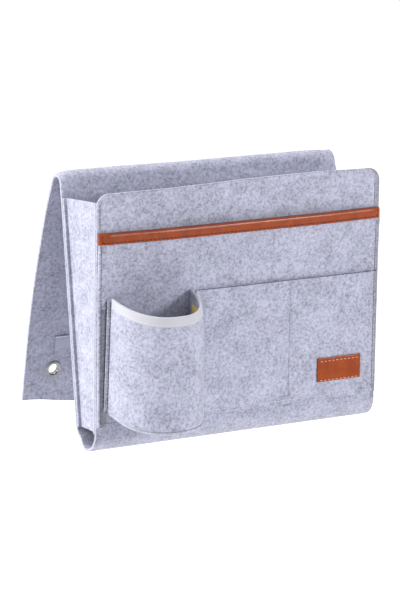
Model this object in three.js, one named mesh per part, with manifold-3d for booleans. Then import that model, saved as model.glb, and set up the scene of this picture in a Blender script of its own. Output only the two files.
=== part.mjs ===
// A felt bedside caddy. It hangs over a rail by its top fold, or tucks its rear flap under a mattress.
// Millimetres, with X to the right across the front, Y to the back and Z up.
// The origin is the saddle: the middle of the inside of the top fold, where a rail would carry it.

import * as THREE from 'three';
import { mergeVertices } from 'three/addons/utils/BufferGeometryUtils.js';
import Module from 'manifold-3d';

const wasm = await Module();
wasm.setup();

// Sheet materials and the clearance between sewn layers
const FELT = 3;
const LEATHER = 1.2;
const TAPE = 0.9;
const SEAT = 0.3;

// Main sheet: front panel, bottom fold, back panel, top fold and flap
const PANEL_WIDTH = 320;
const PANEL_TOP = 258;
const CORNER_RADIUS = 13;
const FRONT_LEAN = THREE.MathUtils.degToRad(1.2);
const BOTTOM_FOLD_RADIUS = 21;
const BACK_LEAN = THREE.MathUtils.degToRad(7.5);
const BACK_LENGTH = 242;
const TOP_FOLD_RADIUS = 7;
const FLAP_TOP_LEAN = THREE.MathUtils.degToRad(25);
const FLAP_END_LEAN = THREE.MathUtils.degToRad(11);
const FLAP_BOW_LENGTH = 170;
const FLAP_FLAT_LENGTH = 78;

// Side gussets
const GUSSET_INSET = 5.3;
const GUSSET_DROP = 12.5;
const GUSSET_SLOPE = 4.5;

// Flat pockets on the front
const SEAM_HEIGHT = 28.5;
const BINDING_DROP = 38;
const BINDING_HEIGHT = 11.2;
const MAGAZINE_GAPE = 5.2;
const MAGAZINE_SEAM = 9;
const MAGAZINE_GAPE_HEIGHT = 44;
const PHONE_HEIGHT = 126.5;
const PHONE_SIDE_INSET = 6;
const PHONE_GAPE = 5.2;
const PHONE_SEAM = 4;
const PHONE_GAPE_HEIGHT = 45;
const PHONE_GAPE_DROP = 14;
const DIVIDER_X = 53.5;
const GAPE_RAMP = 24;
const LABEL_WIDTH = 51;
const LABEL_HEIGHT = 24.5;
const LABEL_SIDE_INSET = 22.8;
const LABEL_RISE = 18.5;

// Bottle pocket
const CUP_SIDE_INSET = 9.2;
const CUP_WIDTH = 92.8;
const CUP_DEPTH = 63.5;
const CUP_HEIGHT = 111.5;
const CUP_RISE = 13.5;
const CUP_DROOP = THREE.MathUtils.degToRad(10.76);
const CUP_FLANGE = 3.5;
const CUP_BASE_LIP = 1.5;
const RIM_TAPE_HEIGHT = 8.7;
const TAG_WIDTH = 13;
const TAG_HEIGHT = 18;
const TAG_THICKNESS = 0.5;
const TAG_INSET = 4.3;
const TAG_DROP = 11;

// Fastenings
const STRIP_LENGTH = 262;
const STRIP_HEIGHT = 16;
const STRIP_THICKNESS = 1.5;
const STRIP_END_INSET = 59;
const EYELET_SIDE_INSET = 30;
const EYELET_END_INSET = 31;
const EYELET_HOLE = 10.5;
const EYELET_FLANGE = 18;
const EYELET_LIP = 14.4;
const EYELET_METAL = 0.7;
const WASHER_DIAMETER = 17;

// Fineness of round stretches, and how far a cutter passes the faces that it cuts
const FOLD_STEPS = 10;
const BOW_STEPS = 6;
const CUP_STEPS = 24;
const CUP_LEAST_STEPS = 3;
const EYELET_STEPS = 24;
const POCKET_COLUMNS = 40;
const POCKET_ROWS = 12;
const BACK_ROWS = 3;
const CUTTER_OVERRUN = 4.5;
const MERGE_TOLERANCE = 1e-4;

// Lines that several pieces share
const HALF_WIDTH = PANEL_WIDTH / 2;
const BACK_FOOT = {
  y: BOTTOM_FOLD_RADIUS * (1 + Math.cos(BACK_LEAN)),
  z: BOTTOM_FOLD_RADIUS * (1 - Math.sin(BACK_LEAN)),
};
const BACK_HEAD = {
  y: BACK_FOOT.y + BACK_LENGTH * Math.sin(BACK_LEAN),
  z: BACK_FOOT.z + BACK_LENGTH * Math.cos(BACK_LEAN),
};
const FOLD_AXIS = {
  y: BACK_HEAD.y + TOP_FOLD_RADIUS * Math.cos(BACK_LEAN),
  z: BACK_HEAD.z - TOP_FOLD_RADIUS * Math.sin(BACK_LEAN),
};
const MAGAZINE_FACE = -(SEAT + FELT);
const PHONE_FACE = MAGAZINE_FACE - SEAT - FELT;
const PHONE_TOP = SEAM_HEIGHT + PHONE_HEIGHT;
const BINDING_TOP = PANEL_TOP - BINDING_DROP;
const MAGAZINE_TOP = BINDING_TOP - LEATHER - SEAT;
const CUP_LEFT = -HALF_WIDTH + CUP_SIDE_INSET;
const CUP_RIGHT = CUP_LEFT + CUP_WIDTH;
const PHONE_LEFT = CUP_RIGHT + CUP_FLANGE + SEAT;
const PHONE_RIGHT = HALF_WIDTH - PHONE_SIDE_INSET;
const WASHER_NEAR = FELT + SEAT;
const WASHER_FAR = WASHER_NEAR + EYELET_METAL;
const EYELET_BARREL = EYELET_HOLE / 2 + EYELET_METAL;

const X_AXIS = new THREE.Vector3(1, 0, 0);
const Y_AXIS = new THREE.Vector3(0, 1, 0);
const Z_AXIS = new THREE.Vector3(0, 0, 1);

const finish = (color, roughness, metalness = 0) => (
  () => new THREE.MeshStandardMaterial({ color, roughness, metalness })
);
const felt = finish(0xb7bac6, 0.95);
const leather = finish(0x9c4a22, 0.5);
const paleTape = finish(0xdcdde4, 0.8);
const yellowTextile = finish(0xd9a62e, 0.8);
const hookAndLoop = finish(0x8d93a6, 0.85);
const nickel = finish(0xc8cad0, 0.25, 1);

function polygon(points) {
  return new THREE.Shape(points.map(([a, b]) => new THREE.Vector2(a, b)));
}

// A profile drawn in the YZ plane, drawn out along X
function extrudeAcross(profile, fromX, toX, options = {}) {
  const geometry = new THREE.ExtrudeGeometry(profile, {
    depth: toX - fromX,
    bevelEnabled: false,
    curveSegments: FOLD_STEPS,
    ...options,
  });
  const basis = new THREE.Matrix4().makeBasis(Y_AXIS, Z_AXIS, X_AXIS);
  return geometry.applyMatrix4(basis).translate(fromX, 0, 0);
}

// An elevation drawn in the XZ plane, with its thickness along Y
function extrudeBack(elevation, fromY, toY) {
  const geometry = new THREE.ExtrudeGeometry(elevation, {
    depth: toY - fromY,
    bevelEnabled: false,
    curveSegments: FOLD_STEPS,
  });
  const basis = new THREE.Matrix4().makeBasis(X_AXIS, Z_AXIS, Y_AXIS.clone().negate());
  return geometry.applyMatrix4(basis).translate(0, toY, 0);
}

function extrudeUp(plan, fromZ, toZ) {
  const geometry = new THREE.ExtrudeGeometry(plan, { depth: toZ - fromZ, bevelEnabled: false });
  return geometry.translate(0, 0, fromZ);
}

// A box given by its corners, with the counts of cells along X and Z
function slab(low, high, columns = 1, rows = 1) {
  const size = high.map((value, axis) => value - low[axis]);
  const geometry = new THREE.BoxGeometry(...size, columns, 1, rows);
  return geometry.translate(...low.map((value, axis) => value + size[axis] / 2));
}

// Moves every vertex along Y by what a function of X and Z gives
function displace(geometry, shift) {
  const { position } = geometry.attributes;
  for (let i = 0; i < position.count; i += 1) {
    position.setY(i, position.getY(i) + shift(position.getX(i), position.getZ(i)));
  }
  return geometry;
}

function toSolid(geometry) {
  const bare = geometry.clone();
  bare.deleteAttribute('normal');
  bare.deleteAttribute('uv');
  const merged = mergeVertices(bare, MERGE_TOLERANCE);
  return new wasm.Manifold(new wasm.Mesh({
    numProp: 3,
    vertProperties: new Float32Array(merged.attributes.position.array),
    triVerts: new Uint32Array(merged.index.array),
  }));
}

function toGeometry(solid) {
  const { vertProperties, triVerts } = solid.getMesh();
  const geometry = new THREE.BufferGeometry();
  geometry.setAttribute('position', new THREE.BufferAttribute(vertProperties, 3));
  geometry.setIndex(new THREE.BufferAttribute(triVerts, 1));
  geometry.computeVertexNormals();
  return geometry;
}

function unite(...geometries) {
  return toGeometry(geometries.map(toSolid).reduce((whole, solid) => whole.add(solid)));
}

function cut(geometry, ...tools) {
  return toGeometry(tools.map(toSolid).reduce((whole, tool) => whole.subtract(tool), toSolid(geometry)));
}

function piece(parent, name, geometry, material) {
  const mesh = new THREE.Mesh(geometry, material);
  mesh.name = name;
  parent.add(mesh);
}

// A bent strip of felt: the part of a ring between two angles, in the YZ plane
function bend(axis, innerRadius, fromAngle, toAngle) {
  const profile = new THREE.Shape();
  profile.absarc(axis.y, axis.z, innerRadius + FELT, fromAngle, toAngle, false);
  profile.absarc(axis.y, axis.z, innerRadius, toAngle, fromAngle, true);
  profile.closePath();
  return profile;
}

// The Y of a plane parallel to the front panel, at a distance behind its front face
function alongFront(z, distance) {
  const radius = BOTTOM_FOLD_RADIUS;
  return radius - (radius - distance + (z - radius) * Math.sin(FRONT_LEAN)) / Math.cos(FRONT_LEAN);
}

// The Y of a plane parallel to the back panel, at a distance in front of its rear face
function alongBack(z, distance) {
  return BACK_FOOT.y + ((z - BACK_FOOT.z) * Math.sin(BACK_LEAN) - distance) / Math.cos(BACK_LEAN);
}

const smooth = (value, from, to) => THREE.MathUtils.smoothstep(value, from, to);

// A flat top between two sewn lines, falling off to each over a ramp
function swell(x, fromX, toX) {
  return smooth(x, fromX, fromX + GAPE_RAMP) * (1 - smooth(x, toX - GAPE_RAMP, toX));
}

function addFrontPanel(front) {
  const outline = new THREE.Shape();
  outline.moveTo(-HALF_WIDTH, BOTTOM_FOLD_RADIUS + SEAT);
  outline.lineTo(HALF_WIDTH, BOTTOM_FOLD_RADIUS + SEAT);
  const cornerX = HALF_WIDTH - CORNER_RADIUS;
  const cornerZ = PANEL_TOP - CORNER_RADIUS;
  outline.absarc(cornerX, cornerZ, CORNER_RADIUS, 0, Math.PI / 2, false);
  outline.absarc(-cornerX, cornerZ, CORNER_RADIUS, Math.PI / 2, Math.PI, false);
  outline.closePath();
  piece(front, 'front_panel', extrudeBack(outline, 0, FELT), felt());
}

function addFoldsAndBack(caddy) {
  const bottomAxis = { y: BOTTOM_FOLD_RADIUS, z: BOTTOM_FOLD_RADIUS };
  const bottomFrom = Math.PI + FRONT_LEAN;
  const bottomTo = 2 * Math.PI - BACK_LEAN;
  const bottom = bend(bottomAxis, BOTTOM_FOLD_RADIUS - FELT, bottomFrom, bottomTo);
  piece(caddy, 'bottom_fold', extrudeAcross(bottom, -HALF_WIDTH, HALF_WIDTH), felt());

  const back = new THREE.Group();
  back.position.set(0, BACK_FOOT.y, BACK_FOOT.z);
  back.rotation.x = -BACK_LEAN;
  const panel = slab([-HALF_WIDTH, -FELT, SEAT], [HALF_WIDTH, 0, BACK_LENGTH - SEAT], 1, BACK_ROWS);
  piece(back, 'back_panel', panel, felt());
  const stripFoot = BACK_LENGTH - (FLAP_BOW_LENGTH + FLAP_FLAT_LENGTH - STRIP_END_INSET) - STRIP_HEIGHT / 2;
  const strip = slab(
    [-STRIP_LENGTH / 2, SEAT, stripFoot],
    [STRIP_LENGTH / 2, SEAT + STRIP_THICKNESS, stripFoot + STRIP_HEIGHT],
  );
  piece(back, 'loop_strip', strip, hookAndLoop());
  caddy.add(back);

  const clearance = SEAT / TOP_FOLD_RADIUS;
  const top = bend(FOLD_AXIS, TOP_FOLD_RADIUS, FLAP_TOP_LEAN + clearance, Math.PI - BACK_LEAN - clearance);
  piece(caddy, 'top_fold', extrudeAcross(top, -HALF_WIDTH, HALF_WIDTH), felt());
}

// A side wall: a web set in from the panels' edges, with flanges turned outward along both panels
function addGusset(caddy, name, side) {
  const foot = BOTTOM_FOLD_RADIUS;
  const frontTop = PANEL_TOP - GUSSET_DROP;
  const rearTop = frontTop - GUSSET_SLOPE;
  const near = FELT + SEAT;
  const far = near + FELT;
  const web = polygon([
    [alongFront(foot, near), foot],
    [alongBack(foot, near), foot],
    [alongBack(rearTop, near), rearTop],
    [alongFront(frontTop, near), frontTop],
  ]);
  const frontFlange = polygon([
    [alongFront(foot, near), foot],
    [alongFront(foot, far), foot],
    [alongFront(frontTop, far), frontTop],
    [alongFront(frontTop, near), frontTop],
  ]);
  const rearFlange = polygon([
    [alongBack(foot, far), foot],
    [alongBack(foot, near), foot],
    [alongBack(rearTop, near), rearTop],
    [alongBack(rearTop, far), rearTop],
  ]);
  const outer = side * (HALF_WIDTH - GUSSET_INSET);
  const inner = outer - side * FELT;
  const edge = side * HALF_WIDTH;
  const span = (a, b) => [Math.min(a, b), Math.max(a, b)];
  const geometry = unite(
    extrudeAcross(web, ...span(inner, outer)),
    extrudeAcross(frontFlange, ...span(inner, edge)),
    extrudeAcross(rearFlange, ...span(inner, edge)),
  );
  piece(caddy, name, geometry, felt());
}

// How far the magazine pocket's layer stands off the front panel: its mouth gapes between the side seams
function magazineLift(x, z) {
  const mouth = MAGAZINE_TOP - BINDING_HEIGHT;
  const opening = smooth(z, mouth - MAGAZINE_GAPE_HEIGHT, mouth);
  const seamX = HALF_WIDTH - MAGAZINE_SEAM;
  return opening * (LEATHER + SEAT + MAGAZINE_GAPE * swell(x, -seamX, seamX));
}

// How far the phone pockets' layer stands off the layer behind it, on each side of the divider seam
function phoneLift(x, z) {
  const mouth = PHONE_TOP - PHONE_GAPE_DROP;
  const opening = smooth(z, mouth - PHONE_GAPE_HEIGHT, mouth);
  const left = swell(x, PHONE_LEFT + PHONE_SEAM, DIVIDER_X);
  const right = swell(x, DIVIDER_X, PHONE_RIGHT - PHONE_SEAM);
  return PHONE_GAPE * opening * (left + right);
}

function addFlatPockets(front) {
  const magazine = slab(
    [-HALF_WIDTH, MAGAZINE_FACE, SEAM_HEIGHT],
    [HALF_WIDTH, MAGAZINE_FACE + FELT, MAGAZINE_TOP],
    POCKET_COLUMNS,
    POCKET_ROWS,
  );
  piece(front, 'magazine_pocket_panel', displace(magazine, (x, z) => -magazineLift(x, z)), felt());

  const frontLeg = MAGAZINE_FACE - SEAT;
  const rearLeg = MAGAZINE_FACE + FELT + SEAT;
  const bindingFoot = BINDING_TOP - BINDING_HEIGHT;
  const fold = polygon([
    [frontLeg - LEATHER, bindingFoot],
    [frontLeg, bindingFoot],
    [frontLeg, BINDING_TOP - LEATHER],
    [rearLeg, BINDING_TOP - LEATHER],
    [rearLeg, bindingFoot],
    [rearLeg + LEATHER, bindingFoot],
    [rearLeg + LEATHER, BINDING_TOP],
    [frontLeg - LEATHER, BINDING_TOP],
  ]);
  const reach = HALF_WIDTH + SEAT + LEATHER;
  const binding = displace(
    extrudeAcross(fold, -reach, reach, { steps: POCKET_COLUMNS }),
    (x) => -magazineLift(x, MAGAZINE_TOP),
  );
  const tabFront = frontLeg - LEATHER - magazineLift(HALF_WIDTH, MAGAZINE_TOP);
  const tabs = [-1, 1].map((side) => {
    const ends = [side * (HALF_WIDTH + SEAT), side * reach].sort((a, b) => a - b);
    return slab([ends[0], tabFront, bindingFoot], [ends[1], FELT, BINDING_TOP]);
  });
  piece(front, 'leather_binding', unite(binding, ...tabs), leather());

  const phone = slab(
    [PHONE_LEFT, PHONE_FACE, SEAM_HEIGHT],
    [PHONE_RIGHT, PHONE_FACE + FELT, PHONE_TOP],
    POCKET_COLUMNS,
    POCKET_ROWS,
  );
  piece(front, 'phone_pocket_panel', displace(phone, (x, z) => -phoneLift(x, z)), felt());

  const labelRight = HALF_WIDTH - LABEL_SIDE_INSET;
  const labelFoot = SEAM_HEIGHT + LABEL_RISE;
  const label = slab(
    [labelRight - LABEL_WIDTH, PHONE_FACE - SEAT - LEATHER, labelFoot],
    [labelRight, PHONE_FACE - SEAT, labelFoot + LABEL_HEIGHT],
  );
  piece(front, 'leather_label', label, leather());
}

// A point of the bottle pocket's plan: half an oval, moved out from the middle of the wall by an offset
function cupPoint(angle, offset) {
  const halfChord = (CUP_WIDTH - FELT) / 2;
  const reach = CUP_DEPTH - FELT / 2;
  const normal = new THREE.Vector2(reach * Math.cos(angle), -halfChord * Math.sin(angle)).normalize();
  const centreX = (CUP_LEFT + CUP_RIGHT) / 2;
  return [
    centreX + halfChord * Math.cos(angle) + offset * normal.x,
    -reach * Math.sin(angle) + offset * normal.y,
  ];
}

function cupCurve(offset, fromAngle, toAngle) {
  const steps = Math.max(CUP_LEAST_STEPS, Math.round(CUP_STEPS * Math.abs(toAngle - fromAngle) / Math.PI));
  const angleAt = (i) => fromAngle + (toAngle - fromAngle) * i / steps;
  return Array.from({ length: steps + 1 }, (_, i) => cupPoint(angleAt(i), offset));
}

// A ribbon that follows the wall between two offsets and two angles
function cupRibbon(innerOffset, outerOffset, fromAngle, toAngle, fromZ, toZ) {
  const inside = cupCurve(innerOffset, fromAngle, toAngle);
  const outside = cupCurve(outerOffset, toAngle, fromAngle);
  return extrudeUp(polygon([...inside, ...outside]), fromZ, toZ);
}

function addBottlePocket(front) {
  const cup = new THREE.Group();
  cup.position.y = MAGAZINE_FACE - SEAT;
  const droop = new THREE.Matrix4().makeShear(0, 0, 0, Math.tan(CUP_DROOP), 0, 0);
  const half = FELT / 2;
  const baseFoot = SEAM_HEIGHT + CUP_RISE;
  const wallFoot = baseFoot + FELT + SEAT;
  const rim = wallFoot + CUP_HEIGHT;

  const clearOfFlange = Math.asin((FELT + SEAT) / CUP_DEPTH);
  const flange = (tip, root) => slab([Math.min(tip, root), -FELT, wallFoot], [Math.max(tip, root), 0, rim]);
  const wall = unite(
    cupRibbon(-half, half, 0, Math.PI, wallFoot, rim),
    flange(CUP_LEFT - CUP_FLANGE, CUP_LEFT + half),
    flange(CUP_RIGHT + CUP_FLANGE, CUP_RIGHT - half),
  );
  piece(cup, 'cup_wall', wall.applyMatrix4(droop), felt());

  const floorPlan = polygon(cupCurve(half + CUP_BASE_LIP, 0, Math.PI));
  piece(cup, 'cup_base', extrudeUp(floorPlan, baseFoot, baseFoot + FELT).applyMatrix4(droop), felt());

  const inside = half + SEAT;
  const outside = inside + TAPE;
  const tapeFoot = rim - RIM_TAPE_HEIGHT;
  const tapeEnd = clearOfFlange + SEAT / CUP_DEPTH;
  const tape = cut(
    cupRibbon(-outside, outside, tapeEnd, Math.PI - tapeEnd, tapeFoot, rim + SEAT + TAPE),
    cupRibbon(-inside, inside, 0, Math.PI, tapeFoot - TAPE, rim + SEAT),
  );
  piece(cup, 'cup_rim_tape', tape.applyMatrix4(droop), paleTape());

  const tagFrom = TAG_INSET / CUP_DEPTH;
  const tagTo = (TAG_INSET + TAG_WIDTH) / CUP_DEPTH;
  const tagTop = rim - TAG_DROP;
  const tag = cupRibbon(-inside - TAG_THICKNESS, -inside, tagFrom, tagTo, tagTop - TAG_HEIGHT, tagTop);
  piece(cup, 'cup_tag', tag.applyMatrix4(droop), yellowTextile());
  front.add(cup);
}

// A flanged eyelet: its barrel passes through the felt, and its rolled lip holds the washer
function eyeletProfile() {
  const bore = EYELET_HOLE / 2;
  const face = -SEAT - EYELET_METAL;
  const lip = WASHER_FAR + SEAT;
  const points = [
    [bore, face],
    [EYELET_FLANGE / 2, face],
    [EYELET_FLANGE / 2, face + EYELET_METAL],
    [EYELET_BARREL, face + EYELET_METAL],
    [EYELET_BARREL, lip],
    [EYELET_LIP / 2, lip],
    [EYELET_LIP / 2, lip + EYELET_METAL],
    [bore, lip + EYELET_METAL],
    [bore, face],
  ];
  return points.map(([r, y]) => new THREE.Vector2(r, y));
}

function washerProfile() {
  const inner = EYELET_BARREL + SEAT;
  const points = [
    [inner, WASHER_NEAR],
    [WASHER_DIAMETER / 2, WASHER_NEAR],
    [WASHER_DIAMETER / 2, WASHER_FAR],
    [inner, WASHER_FAR],
    [inner, WASHER_NEAR],
  ];
  return points.map(([r, y]) => new THREE.Vector2(r, y));
}

function addFlap(caddy) {
  const bowRadius = FLAP_BOW_LENGTH / (FLAP_TOP_LEAN - FLAP_END_LEAN);
  const bowAxis = {
    y: FOLD_AXIS.y + (TOP_FOLD_RADIUS - bowRadius) * Math.cos(FLAP_TOP_LEAN),
    z: FOLD_AXIS.z + (TOP_FOLD_RADIUS - bowRadius) * Math.sin(FLAP_TOP_LEAN),
  };
  const flapEnd = (radius) => [
    bowAxis.y + radius * Math.cos(FLAP_END_LEAN) + FLAP_FLAT_LENGTH * Math.sin(FLAP_END_LEAN),
    bowAxis.z + radius * Math.sin(FLAP_END_LEAN) - FLAP_FLAT_LENGTH * Math.cos(FLAP_END_LEAN),
  ];
  const profile = new THREE.Shape();
  profile.absarc(bowAxis.y, bowAxis.z, bowRadius, FLAP_END_LEAN, FLAP_TOP_LEAN, false);
  profile.absarc(bowAxis.y, bowAxis.z, bowRadius + FELT, FLAP_TOP_LEAN, FLAP_END_LEAN, true);
  profile.lineTo(...flapEnd(bowRadius + FELT));
  profile.lineTo(...flapEnd(bowRadius));
  profile.closePath();
  const sheet = extrudeAcross(profile, -HALF_WIDTH, HALF_WIDTH, { curveSegments: BOW_STEPS });

  const lower = new THREE.Group();
  lower.position.set(0, ...flapEnd(bowRadius));
  lower.rotation.x = FLAP_END_LEAN;
  lower.updateMatrix();
  const eyelets = [
    { name: 'left', x: -HALF_WIDTH + EYELET_SIDE_INSET },
    { name: 'right', x: HALF_WIDTH - EYELET_SIDE_INSET },
  ];
  const holeRadius = EYELET_BARREL + SEAT;
  const holeLength = FELT + 2 * CUTTER_OVERRUN;
  const holes = eyelets.map(({ x }) => {
    const hole = new THREE.CylinderGeometry(holeRadius, holeRadius, holeLength, EYELET_STEPS);
    return hole.translate(x, FELT / 2, EYELET_END_INSET).applyMatrix4(lower.matrix);
  });
  piece(caddy, 'rear_flap', cut(sheet, ...holes), felt());

  const strip = slab(
    [-STRIP_LENGTH / 2, -SEAT - STRIP_THICKNESS, STRIP_END_INSET - STRIP_HEIGHT / 2],
    [STRIP_LENGTH / 2, -SEAT, STRIP_END_INSET + STRIP_HEIGHT / 2],
  );
  piece(lower, 'hook_strip', strip, hookAndLoop());
  for (const { name, x } of eyelets) {
    const ring = new THREE.LatheGeometry(eyeletProfile(), EYELET_STEPS).translate(x, 0, EYELET_END_INSET);
    piece(lower, `eyelet_${name}`, ring, nickel());
    const washer = new THREE.LatheGeometry(washerProfile(), EYELET_STEPS).translate(x, 0, EYELET_END_INSET);
    piece(lower, `eyelet_washer_${name}`, washer, nickel());
  }
  caddy.add(lower);
}

const caddy = new THREE.Group();
caddy.position.set(0, -FOLD_AXIS.y, -(FOLD_AXIS.z + TOP_FOLD_RADIUS));

// The front leans about the axis of the bottom fold
const leaning = new THREE.Group();
leaning.position.set(0, BOTTOM_FOLD_RADIUS, BOTTOM_FOLD_RADIUS);
leaning.rotation.x = FRONT_LEAN;
const front = new THREE.Group();
front.position.set(0, -BOTTOM_FOLD_RADIUS, -BOTTOM_FOLD_RADIUS);
leaning.add(front);
caddy.add(leaning);

addFrontPanel(front);
addFoldsAndBack(caddy);
addGusset(caddy, 'left_gusset', -1);
addGusset(caddy, 'right_gusset', 1);
addFlatPockets(front);
addBottlePocket(front);
addFlap(caddy);

export default caddy;
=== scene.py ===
"""A grey felt bedside caddy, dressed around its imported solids.

Each felt piece is cut flat, laid into place and given its thickness. Leather, tape, fastenings and sewing
follow. Lengths are metres in the frame of the solids: X to the right, Y to the back, Z up, and the origin
in the saddle of the top fold.
"""

import logging
import math
import random
from dataclasses import dataclass
from enum import Enum
from typing import Callable, Optional, Sequence

import bmesh
import bpy
from mathutils import Matrix, Vector, noise


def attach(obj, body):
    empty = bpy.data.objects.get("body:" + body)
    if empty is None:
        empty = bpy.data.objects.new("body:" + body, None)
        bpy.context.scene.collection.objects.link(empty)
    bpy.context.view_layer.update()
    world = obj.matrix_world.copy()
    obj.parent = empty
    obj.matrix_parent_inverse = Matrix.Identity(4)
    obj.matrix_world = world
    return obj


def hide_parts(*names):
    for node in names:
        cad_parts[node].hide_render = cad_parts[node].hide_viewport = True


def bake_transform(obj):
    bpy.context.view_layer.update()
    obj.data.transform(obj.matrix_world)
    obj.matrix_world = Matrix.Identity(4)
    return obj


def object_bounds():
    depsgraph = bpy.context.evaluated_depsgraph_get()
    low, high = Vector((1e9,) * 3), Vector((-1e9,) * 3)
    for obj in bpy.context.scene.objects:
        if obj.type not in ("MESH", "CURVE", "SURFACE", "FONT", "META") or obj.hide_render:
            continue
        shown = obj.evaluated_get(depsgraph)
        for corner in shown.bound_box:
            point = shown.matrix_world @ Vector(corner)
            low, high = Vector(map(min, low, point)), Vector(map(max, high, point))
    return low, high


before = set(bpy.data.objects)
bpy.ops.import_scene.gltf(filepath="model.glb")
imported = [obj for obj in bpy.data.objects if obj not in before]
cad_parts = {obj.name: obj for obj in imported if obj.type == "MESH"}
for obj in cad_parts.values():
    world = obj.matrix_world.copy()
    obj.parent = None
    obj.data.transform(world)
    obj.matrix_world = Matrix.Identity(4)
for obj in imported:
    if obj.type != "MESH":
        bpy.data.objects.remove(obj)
CAD_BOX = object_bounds()
LOG = logging.getLogger("felt_caddy")

Piece = bpy.types.Object
Material = bpy.types.Material
Node = bpy.types.Node
Mesh = bmesh.types.BMesh
Pair = tuple[float, float]
Triple = tuple[float, float, float]
Spot = tuple[Vector, Vector]
Row = list[Spot]
Plan = tuple[float, float, Vector]
Place = Callable[[float, float], Spot]
Share = Callable[[float, float], float]
Test = Callable[[float, float], bool]
Link = tuple[Node, int | str]
Given = Link | Triple | float
Sockets = dict[int | str, Given]

CUT_MAP = "cut"
SHORTEST_EDGE = 1e-6
EDGE_LINES = (0.0011, 0.0024)
NEAREST_LINE = 0.3
MARGIN_SLOT = 2


class Body(Enum):
    """The bodies that pieces ride on."""

    CADDY = "caddy"
    FLAP = "flap"


class Slot(Enum):
    """The record's material slots."""

    FELT = "felt"
    LEATHER = "brown_leather"
    TAPE = "pale_tape"
    TAG = "yellow_textile"
    HOOK = "hook_and_loop"
    NICKEL = "nickel"


class Held(Enum):
    """How a sheet is held."""

    LAID = "laid"
    FOLDED = "folded"


def smooth(value: float, low: float, high: float) -> float:
    """A step from 0 at low to 1 at high, with no corner at either end, read at a value."""
    share = min(1.0, max(0.0, (value - low) / (high - low)))
    return share * share * (3 - 2 * share)


def climb(value: float, steps: Sequence[Triple]) -> float:
    """The sum of smooth steps, each of them a height, where it starts and where it ends."""
    return sum(height * smooth(value, low, high) for height, low, high in steps)


def stations(low: float, high: float, step: float, extra: Sequence[float] = ()) -> list[float]:
    """Where the lines of a grid lie along one side of a cut.

    Args:
        low: First line.
        high: Last line.
        step: Usual distance between lines.
        extra: Lines that have to be there, such as beside a seam.

    Returns:
        The lines in order.
    """
    count = max(1, round((high - low) / step))
    plain = [low + (high - low) * i / count for i in range(count + 1)]
    fixed = sorted({low, high, *[e for e in extra if low < e < high]})
    kept = [p for p in plain if all(abs(p - f) > step * NEAREST_LINE for f in fixed)]
    return sorted([*fixed, *kept])


def beside(*lines: float, gap: float = 0.0012) -> list[float]:
    """Grid lines on each seam line and beside it, a gap apart."""
    return [line + shift * gap for line in lines for shift in (-2, -1, 0, 1, 2)]


def inside(low: float, high: float) -> list[float]:
    """Grid lines just inside both cut edges, which keep the faces next to the rounded edge narrow."""
    near, far = EDGE_LINES
    return [low + near, low + far, high - far, high - near]


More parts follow.
